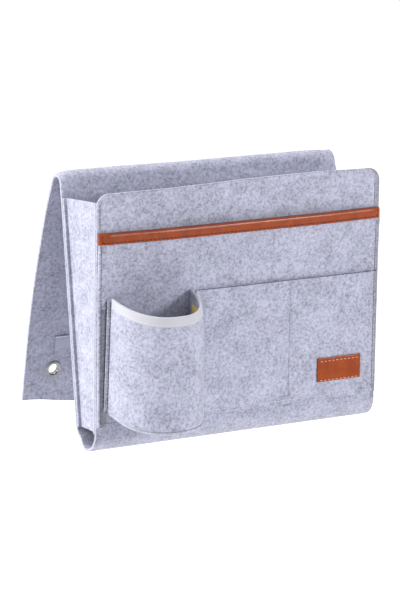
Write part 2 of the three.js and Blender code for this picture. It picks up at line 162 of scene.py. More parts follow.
@dataclass(frozen=True)
class Cut:
    """Sizes and frames that the pieces share, as the solids have them."""

    felt: float = 0.003
    leather: float = 0.0012
    seat: float = 0.0003
    half_width: float = 0.160
    panel_top: float = 0.258
    corner: float = 0.013
    front_lean: float = math.radians(1.2)
    bottom_radius: float = 0.021
    back_lean: float = math.radians(7.5)
    back_length: float = 0.242
    top_radius: float = 0.007
    flap_top_lean: float = math.radians(25)
    flap_end_lean: float = math.radians(11)
    flap_bow: float = 0.170
    flap_flat: float = 0.078
    seam_left: float = -0.1568
    seam_right: float = 0.1545
    rear_seam: float = 0.1584
    seam_height: float = 0.0285
    fold_draw: float = 0.0065
    draw_length: float = 0.060
    edge_falls: Pair = (0.0014, 0.0005)
    edge_slope: Pair = (0.0004, 0.0042)
    margin: float = 0.0006

    @property
    def half(self) -> float:
        """Half the felt's thickness."""
        return self.felt / 2

    def off_seam(self, x: float) -> float:
        """Distance outward from the side seam on the front, on the side where x lies."""
        return self.seam_left - x if x < 0 else x - self.seam_right

    def drawn(self, x: float, distance: float) -> float:
        """How far the felt's right edge is drawn in, at a distance along the felt from the top fold."""
        return self.fold_draw * (1 - smooth(distance, 0.0, self.draw_length)) if x > 0 else 0.0

    @staticmethod
    def _moved(start: Pair, lean: float, along: float, up: float) -> Pair:
        """Y and Z of a point that lies a way along and up from a start, in axes that lean to the front."""
        sine, cosine = math.sin(lean), math.cos(lean)
        return start[0] + along * cosine - up * sine, start[1] + along * sine + up * cosine

    @property
    def bottom_axis(self) -> Pair:
        """Y and Z of the axis of the bottom fold, from the foot of the front."""
        return self.bottom_radius, self.bottom_radius

    @property
    def back_foot(self) -> Pair:
        """Y and Z of the foot of the back panel's rear face, from the foot of the front."""
        return self._moved(self.bottom_axis, -self.back_lean, self.bottom_radius, 0)

    @property
    def fold_axis(self) -> Pair:
        """Y and Z of the axis of the top fold, from the foot of the front."""
        return self._moved(self.back_foot, -self.back_lean, self.top_radius, self.back_length)

    @property
    def bow_radius(self) -> float:
        """Radius of the inner face of the flap's bowed stretch."""
        return self.flap_bow / (self.flap_top_lean - self.flap_end_lean)

    @property
    def bow_axis(self) -> Pair:
        """Y and Z of the axis that the flap bows round, from the foot of the front."""
        return self._moved(self.fold_axis, self.flap_top_lean, self.top_radius - self.bow_radius, 0)

    @property
    def flap_end(self) -> Pair:
        """Y and Z of the inner face's edge at the flap's end, from the foot of the front."""
        return self._moved(self.bow_axis, self.flap_end_lean, self.bow_radius, -self.flap_flat)

    def row(self, x: float, y: float, z: float) -> Vector:
        """A point from mid-width, the foot of the front and the lowest point, in the frame of the solids."""
        axis_y, axis_z = self.fold_axis
        return Vector((x, y - axis_y, z - axis_z - self.top_radius))

    def front(self, x: float, y: float, z: float) -> Vector:
        """A point of the front: y back from the panel's face, z up from the foot of the bottom fold."""
        radius = self.bottom_radius
        return self.row(x, *self._moved(self.bottom_axis, self.front_lean, y - radius, z - radius))

    @property
    def front_out(self) -> Vector:
        """The way that the front faces."""
        return Vector((0, -math.cos(self.front_lean), -math.sin(self.front_lean)))

    def back(self, x: float, y: float, z: float) -> Vector:
        """A point of the back panel: y back from its rear face, z up from its foot."""
        return self.row(x, *self._moved(self.back_foot, -self.back_lean, y, z))

    @property
    def back_out(self) -> Vector:
        """The way that the back panel's rear face points."""
        return Vector((0, math.cos(self.back_lean), -math.sin(self.back_lean)))

    def tail(self, x: float, y: float, z: float) -> Vector:
        """A point of the flap's flat end: y back from its inner face, z up from its lower edge."""
        return self.row(x, *self._moved(self.flap_end, self.flap_end_lean, y, z))

    @property
    def tail_out(self) -> Vector:
        """The way that the outer face of the flap's end points."""
        return Vector((0, math.cos(self.flap_end_lean), math.sin(self.flap_end_lean)))

    def along_front(self, z: float, distance: float) -> float:
        """Y at a height, on a plane parallel to the front panel.

        Args:
            z: The height, up from the lowest point of the bottom fold.
            distance: How far the plane lies behind the panel's face.

        Returns:
            Y, back from the foot of the front.
        """
        radius = self.bottom_radius
        slope = (z - radius) * math.sin(self.front_lean)
        return radius - (radius - distance + slope) / math.cos(self.front_lean)

    def along_back(self, z: float, distance: float) -> float:
        """Y at a height, on a plane that lies a distance in front of the back panel's rear face."""
        foot_y, foot_z = self.back_foot
        return foot_y + ((z - foot_z) * math.sin(self.back_lean) - distance) / math.cos(self.back_lean)


CUT = Cut()


class Wiring:
    """Adds and links the nodes of one tree."""

    def __init__(self, tree: bpy.types.NodeTree) -> None:
        """Starts on a tree, which is emptied."""
        self.tree = tree
        tree.nodes.clear()

    def add(self, kind: str, inputs: Optional[Sockets] = None, **settings: object) -> Node:
        """Adds a node.

        Args:
            kind: The node's type, without the word that all shader nodes start with.
            inputs: Values by socket name or number. A pair of a node and a socket is linked.
            settings: Properties of the node.

        Returns:
            The node.
        """
        node = self.tree.nodes.new(kind if kind.startswith("Node") else "ShaderNode" + kind)
        for name, value in settings.items():
            setattr(node, name, value)
        for key, value in (inputs or {}).items():
            socket = node.inputs[key]
            if isinstance(value, tuple) and isinstance(value[0], Node):
                self.tree.links.new(value[0].outputs[value[1]], socket)
            elif isinstance(value, tuple) and socket.type == "RGBA":
                socket.default_value = (*value, 1.0)
            else:
                socket.default_value = value
        return node

    def math(self, operation: str, first: Given, second: Given = 0.0) -> Link:
        """A Math node's result, for use as an input."""
        return self.add("Math", {0: first, 1: second}, operation=operation), 0

    def times(self, first: Given, second: Given) -> Link:
        """A product, for use as an input."""
        return self.math("MULTIPLY", first, second)

    def plus(self, first: Given, second: Given) -> Link:
        """A sum, for use as an input."""
        return self.math("ADD", first, second)

    def span(self, value: Given, low: float, high: float, to_low: float = 0.0, to_high: float = 1.0) -> Link:
        """A value spread smoothly from one range to another and held inside it.

        Args:
            value: The value.
            low: Start of its own range.
            high: End of its own range.
            to_low: Start of the new range.
            to_high: End of the new range.

        Returns:
            The result, for use as an input.
        """
        ends = {"From Min": low, "From Max": high, "To Min": to_low, "To Max": to_high}
        node = self.add("MapRange", {"Value": value, **ends}, interpolation_type="SMOOTHSTEP")
        return node, "Result"

    def mix(self, share: Given, first: Given, second: Given) -> Link:
        """A mix of two colours, for use as an input."""
        return self.add("Mix", {0: share, 6: first, 7: second}, data_type="RGBA"), 2

    def noise(self, place: Given, scale: float, detail: float, **more: float) -> Node:
        """A Noise Texture node, with more of its inputs by their names in small letters."""
        named = {name.capitalize(): value for name, value in more.items()}
        return self.add("TexNoise", {"Vector": place, "Scale": scale, "Detail": detail, **named})

    def bent(self, place: Given, drift: Node, scale: float) -> Link:
        """A place moved about by a noise's colour, for another texture to read.

        Args:
            place: The place.
            drift: The noise.
            scale: How far its whole range of colour moves the place.

        Returns:
            The moved place, for use as an input.
        """
        centred = self.add("VectorMath", {0: (drift, "Color"), 1: (0.5, 0.5, 0.5)}, operation="SUBTRACT")
        shift = self.add("VectorMath", {0: (centred, 0), "Scale": scale}, operation="SCALE")
        return self.add("VectorMath", {0: place, 1: (shift, 0)}), 0

    def bump(self, height: Given, strength: float, depth: float) -> Link:
        """A Bump node's normal, for use as an input."""
        return self.add("Bump", {"Height": height, "Strength": strength, "Distance": depth}), "Normal"

    def surface(self, inputs: Sockets) -> None:
        """Puts a Principled shader with these inputs on the material's output."""
        shader = self.add("BsdfPrincipled", inputs)
        self.add("OutputMaterial", {"Surface": (shader, "BSDF")})


def group(name: str, inputs: dict[str, str], outputs: dict[str, str]) -> tuple[Wiring, Node]:
    """Starts a shader node group.

    Args:
        name: Its name.
        inputs: Socket types by name.
        outputs: Socket types by name.

    Returns:
        Its wiring and its input node.
    """
    tree = bpy.data.node_groups.new(name, "ShaderNodeTree")
    wiring = Wiring(tree)
    for sockets, way in ((inputs, "INPUT"), (outputs, "OUTPUT")):
        for socket, kind in sockets.items():
            tree.interface.new_socket(socket, in_out=way, socket_type="NodeSocket" + kind)
    return wiring, wiring.add("NodeGroupInput")


class Effects:
    """The effects that materials share, each a node group built once."""

    def __init__(self) -> None:
        """Builds the groups."""
        self.felt = self._felt()
        self.leather = self._leather()
        self.weave = self._weave()

    @staticmethod
    def _felt() -> bpy.types.NodeTree:
        """Pressed fibres: pale and dark hairs in clumps, with single hairs over them.

        Returns:
            The group.
        """
        wiring, given = group(
            "felt_fibres",
            {"Vector": "Vector", "Light": "Color", "Dark": "Color", "Fleck": "Float"},
            {"Color": "Color", "Height": "Float"},
        )
        place = (given, "Vector")
        clump = wiring.noise(place, 350, 6, roughness=0.70, distortion=0.5)
        cloud = wiring.noise(place, 52, 3, roughness=0.55)
        hairs = []
        for turn in (0.5, -0.9, 2.1):
            turned = wiring.add(
                "Mapping",
                {"Vector": place, "Rotation": (turn * 0.7, turn * 1.3, turn), "Scale": (260, 2400, 2400)},
            )
            hair = wiring.noise((turned, 0), 1, 2, distortion=1.2)
            hairs.append(wiring.span((hair, 0), 0.55, 0.72))
        hair_mask = wiring.math("MAXIMUM", wiring.math("MAXIMUM", hairs[0], hairs[1]), hairs[2])
        dark = wiring.times(wiring.span((clump, 0), 0.36, 0.70), 0.8)
        dark = wiring.plus(dark, wiring.times(wiring.span((cloud, 0), 0.3, 0.7), 0.26))
        dark = wiring.times(dark, (given, "Fleck"))
        toned = wiring.mix(dark, (given, "Light"), (given, "Dark"))
        pale = wiring.times(hair_mask, 0.16)
        toned = wiring.mix(pale, toned, (1.0, 1.0, 1.0))
        raised = wiring.times(hair_mask, 0.5)
        height = wiring.plus(wiring.times((clump, 0), 0.6), raised)
        wiring.add("NodeGroupOutput", {"Color": toned, "Height": height})
        return wiring.tree

    @staticmethod
    def _leather() -> bpy.types.NodeTree:
        """Smooth grained leather: small cells, drifting tone and a share of gloss.

        Returns:
            The group.
        """
        wiring, given = group(
            "leather_grain",
            {"Vector": "Vector", "Light": "Color", "Dark": "Color"},
            {"Color": "Color", "Height": "Float", "Roughness": "Float"},
        )
        place = (given, "Vector")
        waver = wiring.noise(place, 300, 2)
        cell = wiring.add(
            "TexVoronoi",
            {"Vector": wiring.bent(place, waver, 0.0012), "Scale": 1150},
            feature="DISTANCE_TO_EDGE",
        )
        crease = wiring.span((cell, 0), 0.0, 0.16)
        drift = wiring.noise(place, 95, 4, roughness=0.6)
        tone = wiring.times(wiring.span((drift, 0), 0.33, 0.7), 0.55)
        sunk = wiring.times(wiring.math("SUBTRACT", 1.0, crease), 0.3)
        shade = wiring.plus(tone, sunk)
        colour = wiring.mix(shade, (given, "Light"), (given, "Dark"))
        rough = wiring.span((drift, 0), 0.3, 0.7, 0.19, 0.25)
        wiring.add("NodeGroupOutput", {"Color": colour, "Height": crease, "Roughness": rough})
        return wiring.tree

    @staticmethod
    def _weave() -> bpy.types.NodeTree:
        """Plain weave on the cut's own map: threads over and under in two directions.

        Returns:
            The group.
        """
        wiring, given = group(
            "plain_weave",
            {"Vector": "Vector", "Light": "Color", "Dark": "Color", "Threads": "Float"},
            {"Color": "Color", "Height": "Float"},
        )
        sockets = {0: (given, "Vector"), "Scale": (given, "Threads")}
        scaled = wiring.add("VectorMath", sockets, operation="SCALE")
        parts = wiring.add("SeparateXYZ", {0: (scaled, 0)})
        across = wiring.math("SINE", wiring.times((parts, 0), math.pi))
        along = wiring.math("SINE", wiring.times((parts, 1), math.pi))
        over = wiring.times(across, along)
        high = wiring.span(over, -0.8, 0.8)
        slub = wiring.noise((scaled, 0), 0.7, 3)
        shade = wiring.times(wiring.math("SUBTRACT", 1.0, high), 0.5)
        shade = wiring.plus(shade, wiring.times(wiring.span((slub, 0), 0.35, 0.7), 0.3))
        colour = wiring.mix(shade, (given, "Light"), (given, "Dark"))
        wiring.add("NodeGroupOutput", {"Color": colour, "Height": high})
        return wiring.tree


def start_material(name: str) -> tuple[Material, Wiring, Link]:
    """Starts a material.

    Args:
        name: The material's name.

    Returns:
        The material, its wiring and the place on the piece that its textures read.
    """
    material = bpy.data.materials.new(name)
    material.use_nodes = True
    wiring = Wiring(material.node_tree)
    return material, wiring, (wiring.add("TexCoord"), "Object")


@dataclass(frozen=True)
class FeltFinish:
    """Pressed melange felt."""

    name: str
    light: Triple
    dark: Triple
    fleck: float = 1.0
    bump: float = 0.55
    relief: float = 0.0006
    rough: float = 0.95
    shine: float = 0.15
    sheen: float = 0.25
    sheen_rough: float = 0.6

    def make(self, effects: Effects) -> Material:
        """Builds the material.

        Args:
            effects: The shared groups.

        Returns:
            The material.
        """
        material, wiring, place = start_material(self.name)
        felt = wiring.add(
            "Group",
            {"Vector": place, "Light": self.light, "Dark": self.dark, "Fleck": self.fleck},
            node_tree=effects.felt,
        )
        wiring.surface({
            "Base Color": (felt, "Color"),
            "Normal": wiring.bump((felt, "Height"), self.bump, self.relief),
            "Roughness": self.rough,
            "Specular IOR Level": self.shine,
            "Sheen Weight": self.sheen,
            "Sheen Roughness": self.sheen_rough,
        })
        return material


@dataclass(frozen=True)
class LeatherFinish:
    """Smooth dyed leather with a light gloss."""

    name: str
    light: Triple
    dark: Triple
    bump: float = 0.18
    relief: float = 0.0003
    gloss: float = 0.24

    def make(self, effects: Effects) -> Material:
        """Builds the material.

        Args:
            effects: The shared groups.

        Returns:
            The material.
        """
        material, wiring, place = start_material(self.name)
        grain = wiring.add(
            "Group", {"Vector": place, "Light": self.light, "Dark": self.dark}, node_tree=effects.leather
        )
        wiring.surface({
            "Base Color": (grain, "Color"),
            "Roughness": (grain, "Roughness"),
            "Normal": wiring.bump((grain, "Height"), self.bump, self.relief),
            "Specular IOR Level": self.gloss,
        })
        return material


@dataclass(frozen=True)
class WovenFinish:
    """A narrow woven textile, read along its own cut."""

    name: str
    light: Triple
    dark: Triple
    threads: float = 1600.0
    bump: float = 0.5
    relief: float = 0.0003
    fuzz: float = 0.4
    rough: float = 0.85
    shine: float = 0.25
    sheen: float = 0.15

    def make(self, effects: Effects) -> Material:
        """Builds the material.

        Args:
            effects: The shared groups.

        Returns:
            The material.
        """
        material, wiring, place = start_material(self.name)
        own = wiring.add("UVMap", uv_map=CUT_MAP)
        weave = wiring.add(
            "Group",
            {"Vector": (own, "UV"), "Light": self.light, "Dark": self.dark, "Threads": self.threads},
            node_tree=effects.weave,
        )
        fuzz = wiring.times((wiring.noise(place, 2600, 2), 0), self.fuzz)
        height = wiring.plus((weave, "Height"), fuzz)
        wiring.surface({
            "Base Color": (weave, "Color"),
            "Normal": wiring.bump(height, self.bump, self.relief),
            "Roughness": self.rough,
            "Specular IOR Level": self.shine,
            "Sheen Weight": self.sheen,
        })
        return material


@dataclass(frozen=True)
class MetalFinish:
    """Bright plated metal with fine rubbing marks."""

    name: str
    colour: Triple
    worn: Triple
    bump: float = 0.06
    relief: float = 0.0002

    def make(self) -> Material:
        """Builds the material.

        Returns:
            The material.
        """
        material, wiring, place = start_material(self.name)
        stain = wiring.noise(place, 420, 4)
        rub = wiring.noise(place, 2600, 3, distortion=2)
        wiring.surface({
            "Base Color": wiring.mix(wiring.span((stain, 0), 0.4, 0.75), self.colour, self.worn),
            "Roughness": wiring.span((rub, 0), 0.3, 0.75, 0.16, 0.34),
            "Normal": wiring.bump((rub, 0), self.bump, self.relief),
            "Metallic": 1.0,
        })
        return material


@dataclass(frozen=True)
class ThreadFinish:
    """Twisted sewing thread."""

    name: str
    colour: Triple
    hollow: Triple
    bump: float = 0.4
    relief: float = 0.0002
    rough: float = 0.7
    shine: float = 0.3

    def make(self) -> Material:
        """Builds the material.

        Returns:
            The material.
        """
        material, wiring, place = start_material(self.name)
        twist = wiring.add(
            "TexWave", {"Vector": place, "Scale": 520, "Distortion": 1.5}, bands_direction="DIAGONAL"
        )
        wiring.surface({
            "Base Color": wiring.mix(wiring.span((twist, 1), 0.1, 0.9), self.hollow, self.colour),
            "Normal": wiring.bump((twist, 1), self.bump, self.relief),
            "Roughness": self.rough,
            "Specular IOR Level": self.shine,
        })
        return material


class Finishes:
    """Every finish of the caddy, made once."""

    def __init__(self) -> None:
        """Makes the materials."""
        effects = Effects()
        self.felt = FeltFinish(
            "grey_felt", (0.530, 0.537, 0.690), (0.157, 0.160, 0.221), fleck=0.9, bump=0.48
        ).make(effects)
        self.felt_cut = FeltFinish(
            "grey_felt_cut_edge", (0.60, 0.607, 0.74), (0.32, 0.325, 0.41), fleck=0.8, bump=0.9
        ).make(effects)
        # Darker felt for the front's right margin and for the band beside the bottle pocket: partly pressed
        # felt, partly painted shade.
        self.felt_pressed_shade = FeltFinish(
            "grey_felt_pressed_painted_shade", (0.35, 0.353, 0.43), (0.13, 0.132, 0.17)
        ).make(effects)
        self.leather = LeatherFinish("tan_leather", (0.34, 0.058, 0.006), (0.19, 0.028, 0.002)).make(effects)
        self.leather_fold = LeatherFinish(
            "tan_leather_fold", (0.32, 0.050, 0.003), (0.175, 0.025, 0.001), bump=0.12, gloss=0.36
        ).make(effects)
        self.leather_cut = LeatherFinish(
            "tan_leather_cut_edge", (0.14, 0.026, 0.009), (0.06, 0.011, 0.005), bump=0.5
        ).make(effects)
        self.tape = WovenFinish(
            "pale_binding_tape", (0.561, 0.558, 0.61), (0.447, 0.445, 0.496)
        ).make(effects)
        self.tag = WovenFinish(
            "mustard_tag", (0.92, 0.76, 0.24), (0.78, 0.62, 0.17), threads=2200
        ).make(effects)
        self.hook = WovenFinish(
            "hook_tape", (0.53, 0.54, 0.67), (0.40, 0.41, 0.52), threads=1100, bump=0.9, rough=0.6
        ).make(effects)
        self.loop = WovenFinish(
            "loop_tape", (0.48, 0.49, 0.60), (0.33, 0.34, 0.43), threads=900, bump=0.6, rough=0.95
        ).make(effects)
        # A pale band along the hook strip's upper edge: a painted highlight where the edge catches light.
        self.highlight_edge = WovenFinish(
            "hook_tape_painted_highlight_edge", (0.88, 0.885, 0.95), (0.72, 0.725, 0.80)
        ).make(effects)
        self.nickel = MetalFinish("bright_nickel", (0.34, 0.345, 0.355), (0.21, 0.214, 0.222)).make()
        self.grey_thread = ThreadFinish("grey_thread", (0.17, 0.175, 0.23), (0.07, 0.072, 0.10)).make()
        self.dark_thread = ThreadFinish("dark_grey_thread", (0.065, 0.066, 0.095), (0.03, 0.03, 0.045)).make()
        self.mid_thread = ThreadFinish("mid_grey_thread", (0.34, 0.345, 0.44), (0.19, 0.193, 0.25)).make()
        self.pale_thread = ThreadFinish("pale_thread", (0.84, 0.84, 0.90), (0.55, 0.56, 0.64)).make()
        self.brown_thread = ThreadFinish("brown_thread", (0.06, 0.014, 0.007), (0.02, 0.006, 0.004)).make()
        self.sand_thread = ThreadFinish("sand_thread", (0.88, 0.66, 0.52), (0.58, 0.34, 0.22)).make()


def place_object(name: str, bm: Mesh, materials: Sequence[Material]) -> Piece:
    """Turns a finished bmesh into an object at the origin.

    Args:
        name: The piece's name.
        bm: Its mesh, which is freed.
        materials: Its materials in order.

    Returns:
        The object.
    """
    for face in bm.faces:
        face.smooth = True
    mesh = bpy.data.meshes.new(name)
    bm.to_mesh(mesh)
    bm.free()
    for material in materials:
        mesh.materials.append(material)
    piece = bpy.data.objects.new(name, mesh)
    bpy.context.scene.collection.objects.link(piece)
    LOG.info("%s: %d faces", name, len(mesh.polygons))
    return piece


@dataclass(frozen=True)
class Hole:
    """A round hole in a flat cut."""

    u: float
    v: float
    radius: float


@dataclass
class Sheet:
    """A flat cut of felt, leather or tape, laid into place and thickened to both sides."""

    name: str
    us: Sequence[float]
    vs: Sequence[float]
    place: Place
    half: float
    pinch: Optional[Share] = None
    holes: Sequence[Hole] = ()
    left_out: Optional[Test] = None
    rounding: float = 0.0005
    rim_slot: int = 1
    margin: Optional[Test] = None

    def build(self, *materials: Material) -> Piece:
        """Builds the piece.

        Args:
            materials: The face's material, the cut edge's and the margin's, where it has one; the margins
                hold painted shade and painted highlights.

        Returns:
            The piece.
        """
        bm = bmesh.new()
        layers = [bm.verts.layers.float.new(side) for side in ("u", "v")]
        self._flat(bm, layers)
        lifted = bmesh.ops.extrude_face_region(bm, geom=bm.faces[:])["geom"]
        outer = {vert for vert in lifted if isinstance(vert, bmesh.types.BMVert)}
        for vert in bm.verts:
            u, v = vert[layers[0]], vert[layers[1]]
            point, normal = self.place(u, v)
            depth = self.half * (self.pinch(u, v) if self.pinch else 1.0)
            vert.co = point + normal * (depth if vert in outer else -depth)
        bmesh.ops.recalc_face_normals(bm, faces=bm.faces[:])
        if bm.calc_volume(signed=True) < 0:
            bmesh.ops.reverse_faces(bm, faces=bm.faces[:])
        self._round_edges(bm, outer, layers)
        bmesh.ops.dissolve_degenerate(bm, edges=bm.edges[:], dist=SHORTEST_EDGE)
        self._map(bm, layers)
        return place_object(self.name, bm, materials)

    def lay(
        self,
        materials: Sequence[Material],
        slot: Slot,
        node: str,
        held: Held,
        body: Body = Body.CADDY,
    ) -> None:
        """Builds the piece, hides the solid that it stands for and hangs it on the body that it rests on.

        Args:
            materials: The face's material, the cut edge's and the margin's, where it has one; the margins
                hold painted shade and painted highlights.
            slot: The record's slot.
            node: The solid that it stands for.
            held: Not used.
            body: The body that it rides on.
        """
        piece = self.build(*materials)
        settle(piece, slot, body, [node])

    def _flat(self, bm: Mesh, layers: Sequence) -> None:
        """Cuts the flat grid, with its holes and the faces that are left out.

        Args:
            bm: The empty mesh.
            layers: Its layers for the place along both sides of the cut.
        """
        columns, rows = len(self.us) - 1, len(self.vs) - 1
        grid = bmesh.ops.create_grid(bm, x_segments=columns, y_segments=rows, size=0.5)["verts"]
        for vert in grid:
            vert[layers[0]] = self.us[round((vert.co.x + 0.5) * columns)]
            vert[layers[1]] = self.vs[round((vert.co.y + 0.5) * rows)]
            vert.co = Vector((vert[layers[0]], vert[layers[1]], 0))
        spare = [f for f in bm.faces if self.left_out and self.left_out(*f.calc_center_median().xy)]
        for hole in self.holes:
            centre = Vector((hole.u, hole.v, 0))
            spare += [f for f in bm.faces if (f.calc_center_median() - centre).length < hole.radius]
        bmesh.ops.delete(bm, geom=spare, context="FACES")
        for hole in self.holes:
            centre = Vector((hole.u, hole.v, 0))
            for vert in bm.verts:
                arm = vert.co - centre
                if vert.is_boundary and arm.length < 2 * hole.radius:
                    vert.co = centre + arm.normalized() * hole.radius
                    vert[layers[0]], vert[layers[1]] = vert.co.xy

    def _round_edges(self, bm: Mesh, outer: set, layers: Sequence) -> None:
        """Gives the cut edges and the margins their own materials and rounds the edges.

        Args:
            bm: The thick mesh.
            outer: The corners on its outer side.
            layers: Its layers for the place along both sides of the cut.
        """
        rim = {f for f in bm.faces if 0 < sum(vert in outer for vert in f.verts) < len(f.verts)}
        for face in bm.faces:
            if face in rim:
                face.material_index = self.rim_slot
            elif self.margin:
                u, v = (sum(vert[layer] for vert in face.verts) / len(face.verts) for layer in layers)
                face.material_index = MARGIN_SLOT if self.margin(u, v) else 0
        lines = [e for e in bm.edges if len({f in rim for f in e.link_faces}) == 2]
        shape = {"offset": self.rounding, "offset_type": "OFFSET", "segments": 2, "profile": 0.5}
        bmesh.ops.bevel(bm, geom=lines, affect="EDGES", material=-1, **shape)

    def _map(self, bm: Mesh, layers: Sequence) -> None:
        """Writes the flat cut as a map, so that a weave follows it.

        Args:
            bm: The finished mesh.
            layers: Its layers for the place along both sides of the cut.
        """
        uv = bm.loops.layers.uv.new(CUT_MAP)
        for face in bm.faces:
            for loop in face.loops:
                loop[uv].uv = (loop.vert[layers[0]], loop.vert[layers[1]])


def settle(piece: Piece, slot: Slot, body: Optional[Body] = Body.CADDY, replaces: Sequence[str] = ()) -> None:
    """Hangs a piece on the body that it rides on and hides the solids that it stands for.

    Args:
        piece: The piece.
        slot: Not used.
        body: Its body, or none, which leaves the piece on no body.
        replaces: The solids' nodes.
    """
    if replaces:
        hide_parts(*replaces)
    if body:
        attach(piece, body.value)


def ripple(x: float, y: float, seed: float, per_metre: float) -> float:
    """A slow unevenness of handled felt, from -1 to 1."""
    return noise.noise(Vector((x * per_metre, y * per_metre, seed)))


def falling(x: float) -> float:
    """How far a front layer's face falls back towards its cut edge, outside the side seam."""
    depth = CUT.edge_falls[x > 0]
    return depth * smooth(CUT.off_seam(x), *CUT.edge_slope)


def dent(distance: float, width: float = 0.0013) -> float:
    """How deep a seam pulls the felt in at a distance from it, from 0 to 1."""
    return math.exp(-((distance / width) ** 2))


def raised(spot: Spot, height: float) -> Spot:
    """A spot moved out of the cloth by a height, or into it where that is below 0."""
    return spot[0] + spot[1] * height, spot[1]


@dataclass
class MainStrip:
    """The long strip that is the front panel, the bottom fold, the back panel, the top fold and the flap."""

    finishes: Finishes
    step: float = 0.0065
    fold_step: float = 0.0028
    saddle_step: float = 0.0013
    groove: float = 0.45
    hole_radius: float = 0.0064
    eyelet_x: float = 0.130
    eyelet_rise: float = 0.031
    eyelet_step: float = 0.0022
    waver: float = 0.0007
    flap_waver: float = 1.6
    waves: float = 11
    wave_seed: float = 3.1
    front_loose: Pair = (0.015, 0.045)
    flap_loose: Pair = (0.02, 0.08)
    hem: float = 0.0075
    hem_middle: float = 0.095
    hem_tall: float = 0.022
    flare: float = 0.0024
    flare_from: float = 0.142
    flare_below: float = 0.05
    bottom_flat: float = 0.0045
    rises: tuple[Triple, ...] = ((0.003, -0.11, 0.06), (-0.001, 0.10, 0.15))
    edge_drop: float = 0.001
    edge_fade: Pair = (0.004, 0.08)
    sinks: tuple[Triple, ...] = ((0.0028, -0.151, -0.160), (0.0012, 0.135, 0.157), (0.0008, -0.10, -0.02))
    sink_fade: Pair = (0.008, 0.045)
    seam_stop: float = 0.012
    corner_degrees: tuple[int, ...] = (14, 24, 34, 44, 54, 66, 78, 90)

    def __post_init__(self) -> None:
        """Works out where each stretch of the strip starts along its length."""
        bottom = (CUT.bottom_radius - CUT.half) * (math.pi - CUT.front_lean - CUT.back_lean)
        top = (CUT.top_radius + CUT.half) * (math.pi - CUT.back_lean - CUT.flap_top_lean)
        bow = (CUT.bow_radius + CUT.half) * (CUT.flap_top_lean - CUT.flap_end_lean)
        lengths = [CUT.panel_top - CUT.bottom_radius, bottom, CUT.back_length, top, bow, CUT.flap_flat]
        self.starts = [sum(lengths[:i]) for i in range(len(lengths) + 1)]

    @property
    def length(self) -> float:
        """The strip's length before it was folded."""
        return self.starts[-1]

    def _turn(self, axis: Pair, radius: float, angle: float, way: int) -> Spot:
        """A point of a bend and the strip's outer side there."""
        arm = Vector((0, math.cos(angle), math.sin(angle)))
        return CUT.row(0, axis[0], axis[1]) + arm * radius, arm * way

    def line(self, v: float) -> Spot:
        """The middle of the strip at a distance from its front edge.

        Args:
            v: The distance.

        Returns:
            The point at mid-width, and the way that the strip's outer side faces.
        """
        _, bottom, back, top, bow, flat, _ = self.starts
        if v <= bottom:
            return CUT.front(0, CUT.half, CUT.panel_top - v), CUT.front_out
        if v <= back:
            radius = CUT.bottom_radius - CUT.half
            turned = (v - bottom) / radius
            behind = max(0.0, turned - math.pi / 2)
            sunk = self.bottom_flat * math.sin(2 * behind) ** 2
            return self._turn(CUT.bottom_axis, radius - sunk, math.pi + CUT.front_lean + turned, 1)
        if v <= top:
            return CUT.back(0, -CUT.half, v - back), CUT.back_out
        if v <= bow:
            radius = CUT.top_radius + CUT.half
            return self._turn(CUT.fold_axis, radius, math.pi - CUT.back_lean - (v - top) / radius, -1)
        if v <= flat:
            radius = CUT.bow_radius + CUT.half
            return self._turn(CUT.bow_axis, radius, CUT.flap_top_lean - (v - bow) / radius, -1)
        return CUT.tail(0, CUT.half, self.length - v), -CUT.tail_out

    def reach(self, v: float) -> float:
        """Half the strip's width, which the front's round corners narrow."""
        short = max(0.0, CUT.corner - v)
        return CUT.half_width - CUT.corner + math.sqrt(CUT.corner**2 - short**2)

    def place(self, u: float, v: float) -> Spot:
        """Lays a point of the flat strip into place.

        Args:
            u: Across the strip, from mid-width.
            v: Along the strip, from its front edge.

        Returns:
            The point, and the way that the strip's outer side faces.
        """
        _, bottom, _, top, bow, _, end = self.starts
        low = 1 - smooth(abs(u), self.hem_middle, CUT.half_width)
        point, out = self.line(v + self.hem * low * smooth(v, end - self.hem_tall, end))
        fold = abs(v - (top + bow) / 2)
        x = u / CUT.half_width * (self.reach(v) - CUT.drawn(u, fold))
        side = smooth(abs(u), self.flare_from, CUT.half_width) * smooth(v, bow + self.flare_below, end)
        x += math.copysign(self.flare * side, u)
        lift = 0.0
        if v < bottom:
            lift = (climb(u, self.rises) - self.edge_drop) * (1 - smooth(v, *self.edge_fade))
        lift -= climb(u, self.sinks) * (1 - smooth(fold, *self.sink_fade))
        loose = 1 - smooth(v, *self.front_loose)
        loose += self.flap_waver * smooth(v, bow + self.flap_loose[0], bow + self.flap_loose[1])
        shift = self.waver * loose * ripple(x, v, self.wave_seed, self.waves) - self.fall(u, v) / 2
        return point + Vector((x, 0, lift)) + out * shift, out

    def fall(self, u: float, v: float) -> float:
        """How far the front panel's face falls back outside its side seams."""
        return falling(u) if v < self.starts[1] else 0.0

    def pressed(self, u: float, v: float) -> bool:
        """Whether a point lies in the front's right margin outside the side seam, which is pressed and
        darkened as painted shade.
        """
        return v < self.starts[1] and u > CUT.seam_right + CUT.margin

    def pinch(self, u: float, v: float) -> float:
        """The felt's share of its full thickness: seams pull it in.

        Args:
            u: Across the strip, from mid-width.
            v: Along the strip, from its front edge.

        Returns:
            The share.
        """
        _, bottom, back, top, *_ = self.starts
        groove = 0.0
        if v < bottom:
            groove = self.groove * dent(CUT.off_seam(u))
        elif back < v < top - self.seam_stop:
            groove = self.groove * dent(abs(u) - CUT.rear_seam)
        return 1 - groove - self.fall(u, v) / CUT.felt

